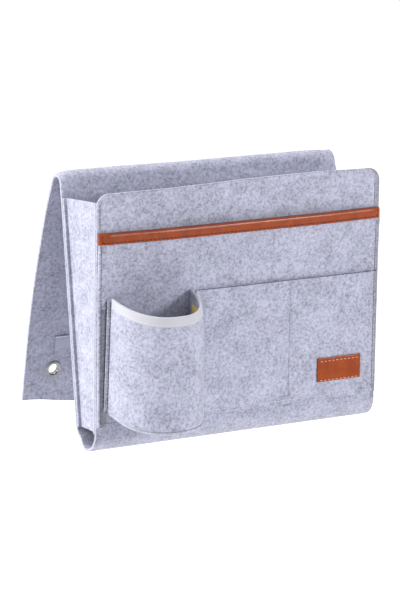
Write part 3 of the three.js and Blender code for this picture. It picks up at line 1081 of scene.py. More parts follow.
    def build(self) -> None:
        """Builds the strip, which rides on neither body."""
        shifts = [i * self.eyelet_step for i in range(-5, 6)]
        eyes = [self.eyelet_x + shift for shift in shifts]
        ends = -CUT.half_width, CUT.half_width
        seams = beside(CUT.seam_left, CUT.seam_right, -CUT.rear_seam, CUT.rear_seam)
        us = stations(*ends, self.step, [*inside(*ends), *seams, *eyes, *[-x for x in eyes]])
        corner = [CUT.corner * (1 - math.cos(math.radians(angle))) for angle in self.corner_degrees]
        low = self.length - self.eyelet_rise
        edges = [*corner, *inside(0, self.length), *[low + shift for shift in shifts]]
        vs: list[float] = []
        steps = [self.step, self.fold_step, self.step, self.saddle_step, self.step, self.step]
        for start, end, step in zip(self.starts, self.starts[1:], steps):
            vs += stations(start, end, step, edges)[:-1]
        vs.append(self.length)
        holes = [Hole(side * self.eyelet_x, low, self.hole_radius) for side in (-1, 1)]
        sheet = Sheet("main_sheet", us, vs, self.place, CUT.half, self.pinch, holes, margin=self.pressed)
        piece = sheet.build(self.finishes.felt, self.finishes.felt_cut, self.finishes.felt_pressed_shade)
        settle(piece, Slot.FELT, None, ["front_panel", "bottom_fold", "back_panel", "top_fold", "rear_flap"])
        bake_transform(piece)


@dataclass
class Gusset:
    """A side wall: a web between the panels, with flanges turned outward along both."""

    finishes: Finishes
    side: int
    inset: float = 0.0046
    turn: float = 0.0018
    foot: float = 0.021
    front_top: float = 0.247
    rear_top: float = 0.2425
    sag: float = 0.0016
    sag_foot: float = 0.1
    sag_climb: float = 0.75
    flange_columns: tuple[float, ...] = (0, 0.18, 0.5, 0.8, 1, 1.25, 1.5, 1.75)
    row_step: float = 0.03
    end_rows: tuple[float, ...] = (0.005, 0.011, 0.989, 0.995)
    measures: int = 8

    @property
    def name(self) -> str:
        """The gusset's node."""
        return "left_gusset" if self.side < 0 else "right_gusset"

    def height(self, share: float, v: float) -> float:
        """Height of a point of the wall: share runs from the back to the front, v from foot to top."""
        top = self.rear_top + (self.front_top - self.rear_top) * share
        return self.foot + (top - self.foot) * v

    def place(self, u: float, v: float) -> Spot:
        """Lays a point of the wall into place.

        Args:
            u: From 0 at the rear flange's edge, over 1 and 2 round the fold, 3 and 4 round the next, to 5.
            v: From 0 at the foot to 1 at the top.

        Returns:
            The point, and the way that the wall's outer side faces.
        """
        share = min(1.0, max(0.0, u - 2))
        z = self.height(share, v)
        layer = CUT.felt + CUT.seat + CUT.half
        rear, near = CUT.along_back(z, layer), CUT.along_front(z, layer)
        web, edge = CUT.half_width - self.inset, CUT.half_width
        if u > 3:
            inward, face, way = 5 - u, near, 1
        else:
            inward, face, way = u, rear, -1
        if inward <= 1:
            x, y, out = edge + (web + self.turn - edge) * inward, face, Vector((0, way, 0))
        elif inward <= 2:
            sine, cosine = math.sin(math.pi / 2 * inward), math.cos(math.pi / 2 * inward)
            x, y = web + self.turn * (1 + cosine), face + way * self.turn * (1 - sine)
            out = Vector((-cosine, way * sine, 0))
        else:
            x, y = web, rear - self.turn + (near - rear + 2 * self.turn) * share
            slack = math.sin(math.pi * min(1, self.sag_foot + self.sag_climb * v))
            x -= self.sag * math.sin(math.pi * share) * slack
            out = Vector((1, 0, 0))
        fold = (CUT.fold_axis[1] - z) / math.cos(CUT.back_lean)
        x -= CUT.drawn(self.side, fold) * (1 - share)
        return CUT.row(self.side * x, y, z), Vector((self.side * out.x, out.y, 0))

    def width(self, v: float) -> float:
        """The flat cut's width at a height."""
        line = [self.place(i / self.measures, v)[0] for i in range(5 * self.measures + 1)]
        return sum((b - a).length for a, b in zip(line, line[1:]))

    def build(self) -> None:
        """Builds the wall."""
        rear, front = self.flange_columns, [5 - u for u in reversed(self.flange_columns)]
        us = [*rear, *[2 + i / 10 for i in range(11)], *front]
        vs = stations(0, 1, self.row_step, self.end_rows)
        sheet = Sheet(self.name + "_felt", us, vs, self.place, CUT.half)
        tall, wide = self.front_top - self.foot, self.width(1)
        area = (wide + self.width(0)) / 2 * tall
        looks = self.finishes.felt, self.finishes.felt_cut
        sheet.lay(looks, Slot.FELT, self.name, Held.FOLDED)


@dataclass
class FlatPockets:
    """The two felt layers on the front, with the leather on them."""

    finishes: Finishes
    binding_top: float = 0.220
    binding_height: float = 0.0112
    binding_bulge: float = 0.0010
    binding_stitch: float = 0.0019
    binding_wrap: float = 0.0014
    binding_bend: float = 0.0012
    binding_corners: Pair = (0.1580, 0.1562)
    binding_lines: tuple[float, ...] = (0.144, 0.147, 0.150, 0.153)
    binding_edges: Pair = (0.0008, 0.002)
    leather_rounding: float = 0.0003
    # Share of the turn above which the fold is darkened as painted shade.
    fold_shade_from: float = 0.42
    fold_flatness: float = 0.55
    caught_span: Pair = (0.150, 0.1575)
    caught_gape: float = 0.65
    caught_thin: float = 0.42
    thin_below: Pair = (0.016, 0.011)
    fall_below: Pair = (0.022, 0.013)
    fall_share: float = 1.5
    layer_insets: Pair = (0.0008, 0.0009)
    magazine_gap: float = 0.0006
    magazine_gape: float = 0.0032
    magazine_seam: float = 0.009
    magazine_gape_height: float = 0.044
    phone_height: float = 0.1265
    phone_left: float = -0.0542
    phone_right: float = 0.1503
    phone_gape: float = 0.0008
    phone_seam: float = 0.004
    phone_gape_height: float = 0.045
    phone_gape_drop: float = 0.014
    foot_seam: float = 0.004
    divider: float = 0.0535
    ramp: float = 0.070
    phone_ramp: float = 0.042
    label_left: float = 0.0862
    label_wide: float = 0.051
    label_foot: float = 0.047
    label_tall: float = 0.0245
    label_crown: float = 0.0004
    label_rim: float = 0.0018
    label_rim_share: float = 0.72
    groove: float = 0.45
    # Left edge, right edge and top of the band beside the bottle pocket, where the pocket's shadow is painted
    # in darker felt.
    cup_shade_band: Triple = (-0.1566, -0.1502, 0.146)
    step: float = 0.006
    leather_step: float = 0.0016
    label_step: float = 0.002

    @property
    def magazine_top(self) -> float:
        """Top of the felt under the leather fold."""
        return self.binding_top - CUT.leather - CUT.seat

    @property
    def magazine_face(self) -> float:
        """Front face of the magazine pocket's layer where it is flat."""
        return -(CUT.seat + CUT.felt)

    @property
    def phone_face(self) -> float:
        """Front face of the phone pockets' layer where it is flat."""
        return self.magazine_face - CUT.seat - CUT.felt

    @property
    def phone_top(self) -> float:
        """Top of the phone pockets' layer."""
        return CUT.seam_height + self.phone_height

    @staticmethod
    def _swell(x: float, low: float, high: float, ramp: float) -> float:
        """A flat top between two sewn lines, falling off to each."""
        return smooth(x, low, low + ramp) * (1 - smooth(x, high - ramp, high))

    def magazine_lift(self, x: float, z: float) -> float:
        """How far the magazine pocket's layer stands off the front panel.

        Args:
            x: From mid-width.
            z: Up along the front.

        Returns:
            The distance.
        """
        mouth = self.magazine_top - self.binding_height
        opening = smooth(z, mouth - self.magazine_gape_height, mouth)
        seam = CUT.half_width - self.magazine_seam
        ends = (CUT.leather + CUT.seat) * (1 - self.caught_gape * self.caught(x))
        return opening * (ends + self.magazine_gape * self._swell(x, -seam, seam, self.ramp))

    def caught(self, x: float) -> float:
        """How far the side seams have drawn the pocket's mouth thin, from 0 to 1."""
        return smooth(abs(x), *self.caught_span)

    def edge_fall(self, x: float, z: float) -> float:
        """How far the magazine layer falls back outside its seams, below the leather."""
        low, high = (self.binding_top - drop for drop in self.fall_below)
        return (1 - smooth(z, low, high)) * falling(x)

    def fold_radius(self, x: float) -> float:
        """Radius of the middle of the leather as it turns over the felt."""
        return (CUT.half + CUT.seat) * (1 - self.caught_thin * self.caught(x)) + CUT.leather / 2

    @property
    def fold_rise(self) -> float:
        """Height of the leather's turn over the felt, which is pressed flatter than it is deep."""
        return self.fold_flatness * self.fold_radius(0)

    @property
    def fold_straight(self) -> float:
        """Height of the leather's front below its turn."""
        return self.binding_height - CUT.leather / 2 - self.fold_rise

    @property
    def fold_turn(self) -> float:
        """Length of the leather's turn over the felt."""
        return math.pi * (self.fold_radius(0) + self.fold_rise) / 2

    def phone_lift(self, x: float, z: float) -> float:
        """How far the phone pockets' layer stands off the layer behind it.

        Args:
            x: From mid-width.
            z: Up along the front.

        Returns:
            The distance.
        """
        mouth = self.phone_top - self.phone_gape_drop
        opening = smooth(z, mouth - self.phone_gape_height, mouth)
        low, middle, high = self.phone_seams
        left = self._swell(x, low, middle, self.phone_ramp)
        right = self._swell(x, middle, high, self.phone_ramp)
        return self.phone_gape * opening * (left + right)

    def magazine_spot(self, x: float, z: float) -> Spot:
        """A point on the front face of the magazine pocket's layer."""
        return CUT.front(x, self.magazine_face - self.magazine_lift(x, z), z), CUT.front_out

    def phone_spot(self, x: float, z: float) -> Spot:
        """A point on the front face of the phone pockets' layer."""
        return CUT.front(x, self.phone_face - self.phone_lift(x, z), z), CUT.front_out

    def magazine_middle(self, x: float, z: float) -> Spot:
        """A point in the middle of the magazine pocket's layer."""
        point, out = self.magazine_spot(x, z)
        return point - out * (CUT.half + self.fall_share * self.edge_fall(x, z)), out

    def magazine_pinch(self, x: float, z: float) -> float:
        """The magazine layer's share of its full thickness: seams and the leather pull it in.

        Args:
            x: From mid-width.
            z: Up along the front.

        Returns:
            The share.
        """
        low, high = (self.binding_top - drop for drop in self.thin_below)
        under = self.caught_thin * self.caught(x) * smooth(z, low, high)
        plain = 1 - self.groove * dent(CUT.off_seam(x)) - self.edge_fall(x, z) / CUT.felt
        return min(plain, 1 - under)

    def magazine_pressed_and_shaded(self, x: float, z: float) -> bool:
        """Whether a point lies outside the right side seam, pressed and darkened as painted shade, or in the
        band beside the bottle pocket, darkened as the pocket's painted shadow.
        """
        left, right, top = self.cup_shade_band
        return x > CUT.seam_right + CUT.margin or (left < x < right and z < top)

    def _magazine(self) -> None:
        """Builds the magazine pocket's layer."""
        low, high = self.layer_insets[0] - CUT.half_width, CUT.half_width - self.layer_insets[1]
        shade_band_left, shade_band_right, shade_band_top = self.cup_shade_band
        lines = [*inside(low, high), *beside(CUT.seam_left, CUT.seam_right), shade_band_left, shade_band_right]
        us = stations(low, high, self.step, lines)
        top = self.magazine_top - self.magazine_gap
        vs = stations(CUT.seam_height, top, self.step, [*inside(CUT.seam_height, top), shade_band_top])
        shape = self.magazine_middle, CUT.half, self.magazine_pinch
        # The right margin and the band beside the bottle pocket take the darker felt as painted shade.
        sheet = Sheet("magazine_pocket_felt", us, vs, *shape, margin=self.magazine_pressed_and_shaded)
        looks = self.finishes.felt, self.finishes.felt_cut, self.finishes.felt_pressed_shade
        sheet.lay(looks, Slot.FELT, "magazine_pocket_panel", Held.LAID)

    def phone_middle(self, x: float, z: float) -> Spot:
        """A point in the middle of the phone pockets' layer."""
        point, out = self.phone_spot(x, z)
        return point - out * CUT.half, out

    @property
    def phone_seams(self) -> Triple:
        """Where the phone pockets' upright seams lie, from mid-width."""
        return self.phone_left + self.phone_seam, self.divider, self.phone_right - self.phone_seam

    @property
    def phone_foot(self) -> float:
        """Height of the seam along the layers' foot."""
        return CUT.seam_height + self.foot_seam

    def phone_pinch(self, x: float, z: float) -> float:
        """The phone layer's share of its full thickness: seams pull it in."""
        deep = max(dent(x - seam) for seam in self.phone_seams)
        return 1 - self.groove * max(deep, dent(z - self.phone_foot))

    def _phone(self) -> None:
        """Builds the phone pockets' layer."""
        low, high = self.phone_left, self.phone_right
        us = stations(low, high, self.step, [*inside(low, high), *beside(*self.phone_seams)])
        ends = CUT.seam_height, self.phone_top
        vs = stations(*ends, self.step, [*inside(*ends), *beside(self.phone_foot)])
        shape = self.phone_middle, CUT.half, self.phone_pinch
        sheet = Sheet("phone_pocket_felt", us, vs, *shape, rim_slot=0)
        looks = self.finishes.felt, self.finishes.felt_cut
        sheet.lay(looks, Slot.FELT, "phone_pocket_panel", Held.LAID)

    def binding_spot(self, u: float, v: float) -> Spot:
        """A point of the leather fold's middle.

        Args:
            u: Along the fold, which turns round the panel's side edges at both ends.
            v: Over the fold: up the front, round the top and down behind.

        Returns:
            The point and the outer side there.
        """
        foot = self.binding_top - self.binding_height
        straight, turn, rise = self.fold_straight, self.fold_turn, self.fold_rise
        bend = self.binding_bend
        side = 1 if u > 0 else -1
        past = abs(u) - self.binding_corners[side > 0] - SHORTEST_EDGE
        x = u if past <= 0 else side * (abs(u) - past)
        radius = self.fold_radius(x)
        bulge = self.binding_bulge * (1 - self.caught(x))
        middle = self.magazine_face + CUT.half - self.magazine_lift(x, self.magazine_top)
        if past > 0:
            up = min(v, straight + rise)
            angle = min(past / bend, math.pi / 2)
            run = max(0.0, past - bend * math.pi / 2)
            out = Vector((side * math.sin(angle), -math.cos(angle), 0))
            y = middle - radius + bend * (1 - math.cos(angle)) + run
            return CUT.front(x + side * bend * math.sin(angle), y, foot + up), out
        share = min(1.0, max(0.0, (v - self.binding_stitch) / (straight + turn / 2 - self.binding_stitch)))
        lift = math.sin(math.pi * share)
        if v <= straight:
            y, z, out = middle - radius - bulge * lift, foot + v, Vector((0, -1, 0))
        elif v <= straight + turn:
            angle = math.pi * (1 - (v - straight) / turn)
            arm = Vector((0, math.cos(angle), math.sin(angle)))
            y, z = middle + arm.y * radius - bulge * lift, foot + straight + arm.z * rise
            out = Vector((0, arm.y / radius, arm.z / rise)).normalized()
        else:
            y, z, out = middle + radius, foot + straight - (v - straight - turn), Vector((0, 1, 0))
        return CUT.front(x, y, z), out

    def _binding(self) -> None:
        """Builds the leather fold over the magazine pocket's mouth."""
        straight, turn = self.fold_straight, self.fold_turn
        over = 2 * straight + turn
        bend = self.binding_bend
        left, right = self.binding_corners
        wrap = bend * math.pi / 2 + self.binding_wrap
        turns = [bend * math.pi / 8 * i for i in range(5)]
        lines = [*[-left - t for t in turns], *[right + t for t in turns]]
        lines += inside(-left - wrap, right + wrap)
        lines += [side * x for side in (-1, 1) for x in self.binding_lines]
        us = stations(-left - wrap, right + wrap, self.step, lines)
        bends = [straight + turn * i / 8 for i in range(9)]
        vs = stations(0, over, self.leather_step, [*self.binding_edges, *bends, over - self.binding_edges[0]])

        def left_out(u: float, v: float) -> bool:
            """Whether a point is cut away: only the front of the fold wraps the sides."""
            return not -left < u < right and v > straight + self.fold_rise

        def shaded_fold_top(u: float, v: float) -> bool:
            """Whether a point lies on the top and back of the fold, darkened with the cut-edge leather as
            painted shade.
            """
            return v > straight + self.fold_shade_from * turn

        trim = {"left_out": left_out, "rounding": self.leather_rounding, "margin": shaded_fold_top}
        sheet = Sheet("leather_binding_fold", us, vs, self.binding_spot, CUT.leather / 2, **trim)
        # The fold's top and back take the dark cut-edge leather as painted shade.
        looks = self.finishes.leather_fold, self.finishes.leather_cut, self.finishes.leather_cut
        sheet.lay(looks, Slot.LEATHER, "leather_binding", Held.FOLDED)

    def label_spot(self, u: float, v: float) -> Spot:
        """A point of the label's middle, crowned a little between its stitched edges.

        Args:
            u: Across the front, from mid-width.
            v: Up along the front.

        Returns:
            The point, and the way that the label faces.
        """
        share_u, share_v = (u - self.label_left) / self.label_wide, (v - self.label_foot) / self.label_tall
        swell = max(0.0, math.sin(math.pi * share_u) * math.sin(math.pi * share_v)) ** 0.5
        point, out = self.phone_spot(u, v)
        return point + out * (CUT.seat + CUT.leather / 2 + self.label_crown * swell), out

    def _label(self) -> None:
        """Builds the bare leather label."""
        ends_u = self.label_left, self.label_left + self.label_wide
        ends_v = self.label_foot, self.label_foot + self.label_tall

        def place(u: float, v: float) -> Spot:
            """A point of the label, kept inside its edges."""
            return self.label_spot(min(max(u, ends_u[0]), ends_u[1]), min(max(v, ends_v[0]), ends_v[1]))

        def pinch(u: float, v: float) -> float:
            """The label's share of its full thickness: it is pressed thinner along its edges."""
            edge = min(u - ends_u[0], ends_u[1] - u, v - ends_v[0], ends_v[1] - v)
            return self.label_rim_share + (1 - self.label_rim_share) * smooth(edge, 0, self.label_rim)

        us = stations(*ends_u, self.label_step, inside(*ends_u))
        vs = stations(*ends_v, self.leather_step, inside(*ends_v))
        shape = place, CUT.leather / 2, pinch
        sheet = Sheet("leather_label_patch", us, vs, *shape, rounding=self.leather_rounding)
        looks = self.finishes.leather, self.finishes.leather_cut
        sheet.lay(looks, Slot.LEATHER, "leather_label", Held.LAID)

    def build(self) -> None:
        """Builds both layers and their leather."""
        for make in (self._magazine, self._phone, self._binding, self._label):
            make()


@dataclass
class BottlePocket:
    """The half-round pocket at the left of the front."""

    finishes: Finishes
    left: float = -0.1508
    width: float = 0.0928
    depth: float = 0.0608
    height: float = 0.1115
    rise: float = 0.0135
    droop: float = 0.19
    flange: float = 0.0048
    lip: float = 0.0010
    floor_half: float = 0.0012
    turn: float = 0.002
    fullness: float = 2.6
    tape_height: float = 0.0087
    tape_inside: float = 0.0015
    tape: float = 0.0005
    rim_pinch: float = 0.48
    tag_wide: float = 0.013
    tag_tall: float = 0.018
    tag_thick: float = 0.0005
    tag_inset: float = 0.0100
    tag_drop: float = 0.0100
    tag_lean: float = 0.0006
    tag_rounding: float = 0.00015
    rim_draw: float = 0.003
    draw_ramp: float = 0.03
    draw_base: float = 0.3
    draw_from: float = 0.7
    draw_climb: float = 4
    draw_depth: float = 0.045
    flange_thin: float = 0.55
    bound_span: Pair = (-0.001, 0.003)
    foot_gap: float = 0.0002
    floor_gap: float = 0.0004
    floor_rings: tuple[float, ...] = (0.0, 0.12, 0.3, 0.5, 0.7, 0.85, 0.94, 0.975, 1.0)
    floor_end: float = 0.004
    floor_steps: int = 48
    tape_steps: int = 64
    tape_map: float = 0.85
    tape_edge: float = 0.0008
    step: float = 0.006
    tape_step: float = 0.0022
    tag_step: float = 0.0016
    steps: int = 56
    bend_steps: int = 6

    @property
    def centre(self) -> float:
        """Middle of the pocket across."""
        return self.left + self.width / 2

    @property
    def foot(self) -> float:
        """Foot of the wall, on the floor of the pocket."""
        return CUT.seam_height + self.rise + CUT.felt + CUT.seat

    @property
    def rim(self) -> float:
        """Top of the wall."""
        return self.foot + self.height

    def point(self, x: float, y: float, z: float) -> Vector:
        """A point of the pocket, y measured from the layer behind it. The pocket droops to the front."""
        return CUT.front(x + self.draw(x, y, z), -(CUT.felt + 2 * CUT.seat) + y, z + self.droop * y)

    def draw(self, x: float, y: float, z: float) -> float:
        """How far the wall is drawn in across towards its rim.

        Args:
            x: From mid-width.
            y: Back from the layer behind the pocket.
            z: Up along the front.

        Returns:
            The distance to the right.
        """
        share = min(1.0, max(0.0, (z - self.foot) / self.height))
        left = self.rim_draw * share * smooth(self.centre - x, 0, self.draw_ramp)
        upper = self.draw_base + smooth(share, self.draw_from, 1)
        right = self.rim_draw * upper * min(1.0, self.draw_climb * share)
        forward = min(1.0, max(0.0, -y / self.draw_depth))
        return left - right * smooth(x - self.centre, 0, self.draw_ramp) * forward

    def oval(self, angle: float, offset: float) -> Plan:
        """A point of the pocket's plan and the way out there.

        Args:
            angle: 0 at the right, half a turn at the left.
            offset: Distance out from the middle of the wall.

        Returns:
            X, Y and the way out.
        """
        chord, reach = (self.width - CUT.felt) / 2, self.depth - CUT.half
        across, along = math.cos(angle), max(0.0, math.sin(angle))
        full, steep = 2 / self.fullness, 2 - 2 / self.fullness
        side = math.copysign(1, across)
        out = Vector((side * abs(across) ** steep * reach, -(along**steep) * chord, 0)).normalized()
        x = self.centre + side * chord * abs(across) ** full + offset * out.x
        return x, -reach * along**full + offset * out.y, out

    def start(self, y: float) -> float:
        """The angle at which the middle of the wall is a distance in front of the layer behind."""
        return math.asin((y / (self.depth - CUT.half)) ** (self.fullness / 2))

    def _flange(self, side: int, end: float) -> list[Plan]:
        """The plan of one flange and of its bend into the wall, from the flange's edge.

        Args:
            side: -1 at the left, 1 at the right.
            end: The angle at which the bend meets the wall.

        Returns:
            X, Y and the way out at each point.
        """
        x, _, _ = self.oval(end, 0)
        bend_x, bend_y = x + side * self.turn, -CUT.half - self.turn
        flat = side * (self.flange - self.turn)
        line = [(bend_x + flat * share, -CUT.half, Vector((0, -1, 0))) for share in (1, 0.5)]
        for i in range(self.bend_steps):
            angle = math.pi / 2 * (1 - i / self.bend_steps)
            arm = Vector((-side * math.cos(angle), math.sin(angle), 0))
            line.append((bend_x + self.turn * arm.x, bend_y + self.turn * arm.y, -arm))
        return line

    def wall_line(self) -> list[Plan]:
        """The wall's plan from the left flange to the right one.

        Returns:
            X, Y and the way out at each point.
        """
        start = self.start(CUT.half + self.turn)
        sweep = math.pi - 2 * start
        curve = [self.oval(math.pi - start - sweep * i / self.steps, 0) for i in range(self.steps + 1)]
        return [*self._flange(-1, math.pi - start), *curve, *reversed(self._flange(1, start))]

    def _wall(self) -> None:
        """Builds the wall with its two flanges."""
        line = self.wall_line()
        bound = self.rim - self.tape_height

        def place(u: float, v: float) -> Spot:
            """A point of the wall: u counts the points of its plan."""
            x, y, out = line[round(u)]
            return self.point(x, y, v), out

        def pinch(u: float, v: float) -> float:
            """The wall's share of its full thickness: thin at the flanges' edges and in the rim tape."""
            thin = self.flange_thin * (1 - min(1.0, min(u, len(line) - 1 - u) / 2))
            return 1 - max(thin, self.rim_pinch * smooth(v, *(bound + reach for reach in self.bound_span)))

        low = self.foot - self.foot_gap
        vs = stations(low, self.rim, self.step, inside(low, self.rim))
        sheet = Sheet("bottle_pocket_wall", range(len(line)), vs, place, CUT.half, pinch, rim_slot=0)
        looks = self.finishes.felt, self.finishes.felt_cut
        run = sum((Vector(b[:2]) - Vector(a[:2])).length for a, b in zip(line, line[1:]))
        sheet.lay(looks, Slot.FELT, "cup_wall", Held.FOLDED)

    def _floor(self) -> None:
        """Builds the half-round floor, which stands out past the wall by a lip."""
        height = self.foot - CUT.seat - self.floor_half
        lip = CUT.half + self.lip - self.floor_gap

        def place(u: float, v: float) -> Spot:
            """A point of the floor: u runs from left to right, v from the back edge to the front."""
            x, y, _ = self.oval(math.pi * (1 - u), self.floor_gap + lip * math.sin(math.pi * (1 - u)))
            return self.point(x, y * v, height), Vector((0, 0, 1))

        us = [0.5 - 0.5 * math.cos(math.pi * i / self.floor_steps) for i in range(self.floor_steps + 1)]
        us = [self.floor_end + (1 - 2 * self.floor_end) * u for u in us]
        sheet = Sheet("bottle_pocket_floor", us, self.floor_rings, place, self.floor_half)
        looks = self.finishes.felt, self.finishes.felt_cut
        sheet.lay(looks, Slot.FELT, "cup_base", Held.LAID)

    @property
    def tape_radius(self) -> float:
        """Radius of the middle of the tape as it turns over the rim."""
        return CUT.half * (1 - self.rim_pinch) + CUT.seat / 2 + self.tape / 2

    @property
    def tape_straight(self) -> float:
        """Height of the tape's outside below its turn."""
        return self.tape_height + self.tape - self.tape_radius

    def tape_spot(self, u: float, v: float) -> Spot:
        """A point of the rim tape's middle.

        Args:
            u: The angle round the pocket.
            v: Up outside, over the rim and down inside.

        Returns:
            The point and the outer side there.
        """
        radius, straight = self.tape_radius, self.tape_straight
        foot = self.rim - self.tape_height
        turn = math.pi * radius
        if v <= straight:
            offset, z, slope = radius, foot + v, 0.0
        elif v <= straight + turn:
            slope = (v - straight) / radius
            offset, z = radius * math.cos(slope), foot + straight + radius * math.sin(slope)
        else:
            offset, z, slope = -radius, foot + straight - (v - straight - turn), math.pi
        x, y, out = self.oval(u, offset)
        return self.point(x, y, z), out * math.cos(slope) + Vector((0, 0, math.sin(slope)))

    def _tape(self) -> None:
        """Builds the woven tape that binds the rim."""
        radius, straight = self.tape_radius, self.tape_straight
        over = straight + math.pi * radius + self.tape_inside
        end = self.start(CUT.felt + 2 * CUT.seat)
        us = [end + (math.pi - 2 * end) * i / self.tape_steps for i in range(self.tape_steps + 1)]
        bends = [straight + math.pi * radius * i / 8 for i in range(9)]
        vs = stations(0, over, self.tape_step, [self.tape_edge, *bends, over - self.tape_edge])
        scale = self.depth * self.tape_map

        def place(u: float, v: float) -> Spot:
            """A point of the tape, whose map runs in metres along the rim."""
            return self.tape_spot(u / scale, v)

        half, along = self.tape / 2, [u * scale for u in us]
        sheet = Sheet("rim_binding_tape", along, vs, place, half, rounding=half)
        line = [Vector(self.oval(u, 0)[:2]) for u in us]
        looks = self.finishes.tape, self.finishes.tape
        sheet.lay(looks, Slot.TAPE, "cup_rim_tape", Held.FOLDED)

    def _tag(self) -> None:
        """Builds the small textile tag inside the pocket's right wall."""
        offset = -(CUT.half + CUT.seat + self.tag_thick / 2)
        top = self.rim - self.tag_drop
        foot = top - self.tag_tall

        def place(u: float, v: float) -> Spot:
            """A point of the tag, which leans away from the wall towards its foot."""
            x, y, out = self.oval(self.start(u), offset - self.tag_lean * (1 - smooth(v, foot, top)))
            return self.point(x, y, v), out

        us = stations(self.tag_inset, self.tag_inset + self.tag_wide, self.tag_step)
        vs = stations(foot, top, self.tape_step)
        sheet = Sheet("mustard_textile_tag", us, vs, place, self.tag_thick / 2, rounding=self.tag_rounding)
        looks = self.finishes.tag, self.finishes.tag
        sheet.lay(looks, Slot.TAG, "cup_tag", Held.LAID)

    def build(self) -> None:
        """Builds the pocket's pieces."""
        for make in (self._wall, self._floor, self._tape, self._tag):
            make()


EYELET_PROFILE = (
    (9.0, -0.30), (8.95, -0.50), (8.75, -0.72), (8.3, -0.92), (7.6, -1.0), (6.8, -0.98), (6.1, -0.82),
    (5.6, -0.5), (5.32, -0.05), (5.25, 0.6), (5.25, 3.6), (5.3, 4.3), (5.5, 4.75), (5.9, 4.98), (6.4, 4.98),
    (6.85, 4.8), (7.15, 4.5), (7.2, 4.32), (6.6, 4.3), (6.1, 4.2), (5.95, 3.9), (5.95, -0.1), (6.1, -0.28),
    (7.4, -0.3),
)
WASHER_PROFILE = (
    (6.25, 3.32), (8.4, 3.3), (8.5, 3.42), (8.45, 3.66), (8.2, 3.88), (7.6, 3.98), (6.9, 3.96), (6.35, 3.8),
    (6.25, 3.6),
)
MILLIMETRES = 1000


@dataclass
class Fastenings:
    """Hook and loop strips, and the eyelets with their washers.

    The eyelets' profiles are pairs of radius and depth behind the flap's inner face, in millimetres.
    """

    finishes: Finishes
    strip_half: float = 0.131
    strip_tall: float = 0.016
    strip_thick: float = 0.0015
    strip_edge: Pair = (0.0006, 0.0034)
    strip_edge_share: float = 0.7
    strip_rounding: float = 0.0003
    strip_steps: Pair = (0.004, 0.002)
    # Width of the painted highlight along a strip's upper edge.
    highlight_edge: float = 0.0014
    hook_foot: float = 0.051
    loop_foot: float = 0.045
    eyelet_x: float = 0.130
    eyelet_rise: float = 0.031
    spin_steps: int = 56

    def hook_spot(self, u: float, v: float) -> Spot:
        """A point of the hook strip's middle, on the flap's inner face."""
        return CUT.tail(u, -(CUT.seat + self.strip_thick / 2), v), -CUT.tail_out

    def loop_spot(self, u: float, v: float) -> Spot:
        """A point of the loop strip's middle, on the back panel's rear face."""
        return CUT.back(u, CUT.seat + self.strip_thick / 2, v), CUT.back_out

    def _strip(
        self, name: str, node: str, body: Body, foot: float, place: Place, looks: Sequence[Material]
    ) -> None:
        """Builds one strip, thinned along its stitched edges, with a pale band along its upper edge as a
        painted highlight.

        Args:
            name: The piece's name.
            node: The solid that it stands for.
            body: The body that it rides on.
            foot: Height of its lower edge along the felt.
            place: Where its points lie.
            looks: The finishes of its face, its cut edge and the painted highlight along its upper edge.
        """
        top = foot + self.strip_tall

        def pinch(u: float, v: float) -> float:
            """The strip's share of its full thickness."""
            full = smooth(min(v - foot, top - v), *self.strip_edge)
            return self.strip_edge_share + (1 - self.strip_edge_share) * full

        def highlight_edge(u: float, v: float) -> bool:
            """Whether a point lies in the painted highlight along the upper edge."""
            return v > top - self.highlight_edge

        ends = -self.strip_half, self.strip_half
        us = stations(*ends, self.strip_steps[0], inside(*ends))
        vs = stations(foot, top, self.strip_steps[1], [*inside(foot, top), top - self.highlight_edge])
        half = self.strip_thick / 2
        sheet = Sheet(name, us, vs, place, half, pinch, rounding=self.strip_rounding, margin=highlight_edge)
        sheet.lay(looks, Slot.HOOK, node, Held.LAID, body)

    def _ring(self, name: str, node: str, x: float, profile: Sequence[Pair]) -> None:
        """Spins a closed profile round an eyelet's axis.

        Args:
            name: The piece's name.
            node: The solid that it stands for.
            x: Where the axis lies, from mid-width.
            profile: Pairs of radius and depth, in millimetres.
        """
        bm = bmesh.new()
        metres = [(r / MILLIMETRES, y / MILLIMETRES) for r, y in profile]
        verts = [bm.verts.new(CUT.tail(x + r, y, self.eyelet_rise)) for r, y in metres]
        edges = [bm.edges.new((a, b)) for a, b in zip(verts, [*verts[1:], verts[0]])]
        turn = {"cent": CUT.tail(x, 0, self.eyelet_rise), "axis": CUT.tail_out, "angle": 2 * math.pi}
        bmesh.ops.spin(bm, geom=[*verts, *edges], steps=self.spin_steps, use_merge=True, **turn)
        bmesh.ops.remove_doubles(bm, verts=bm.verts[:], dist=SHORTEST_EDGE)
        bmesh.ops.recalc_face_normals(bm, faces=bm.faces[:])
        settle(place_object(name, bm, [self.finishes.nickel]), Slot.NICKEL, Body.FLAP, [node])

    def build(self) -> None:
        """Builds the strips and the eyelets."""
        looks = self.finishes
        # The hook strip's upper edge takes the pale painted highlight; the loop strip keeps its own tape
        # there.
        hook, loop = (looks.hook, looks.hook, looks.highlight_edge), (looks.loop,) * 3
        self._strip("hook_fastening", "hook_strip", Body.FLAP, self.hook_foot, self.hook_spot, hook)
        self._strip("loop_fastening", "loop_strip", Body.CADDY, self.loop_foot, self.loop_spot, loop)
        for x, side in ((-self.eyelet_x, "left"), (self.eyelet_x, "right")):
            self._ring("eyelet_ring_" + side, "eyelet_" + side, x, EYELET_PROFILE)
            self._ring("eyelet_back_ring_" + side, "eyelet_washer_" + side, x, WASHER_PROFILE)


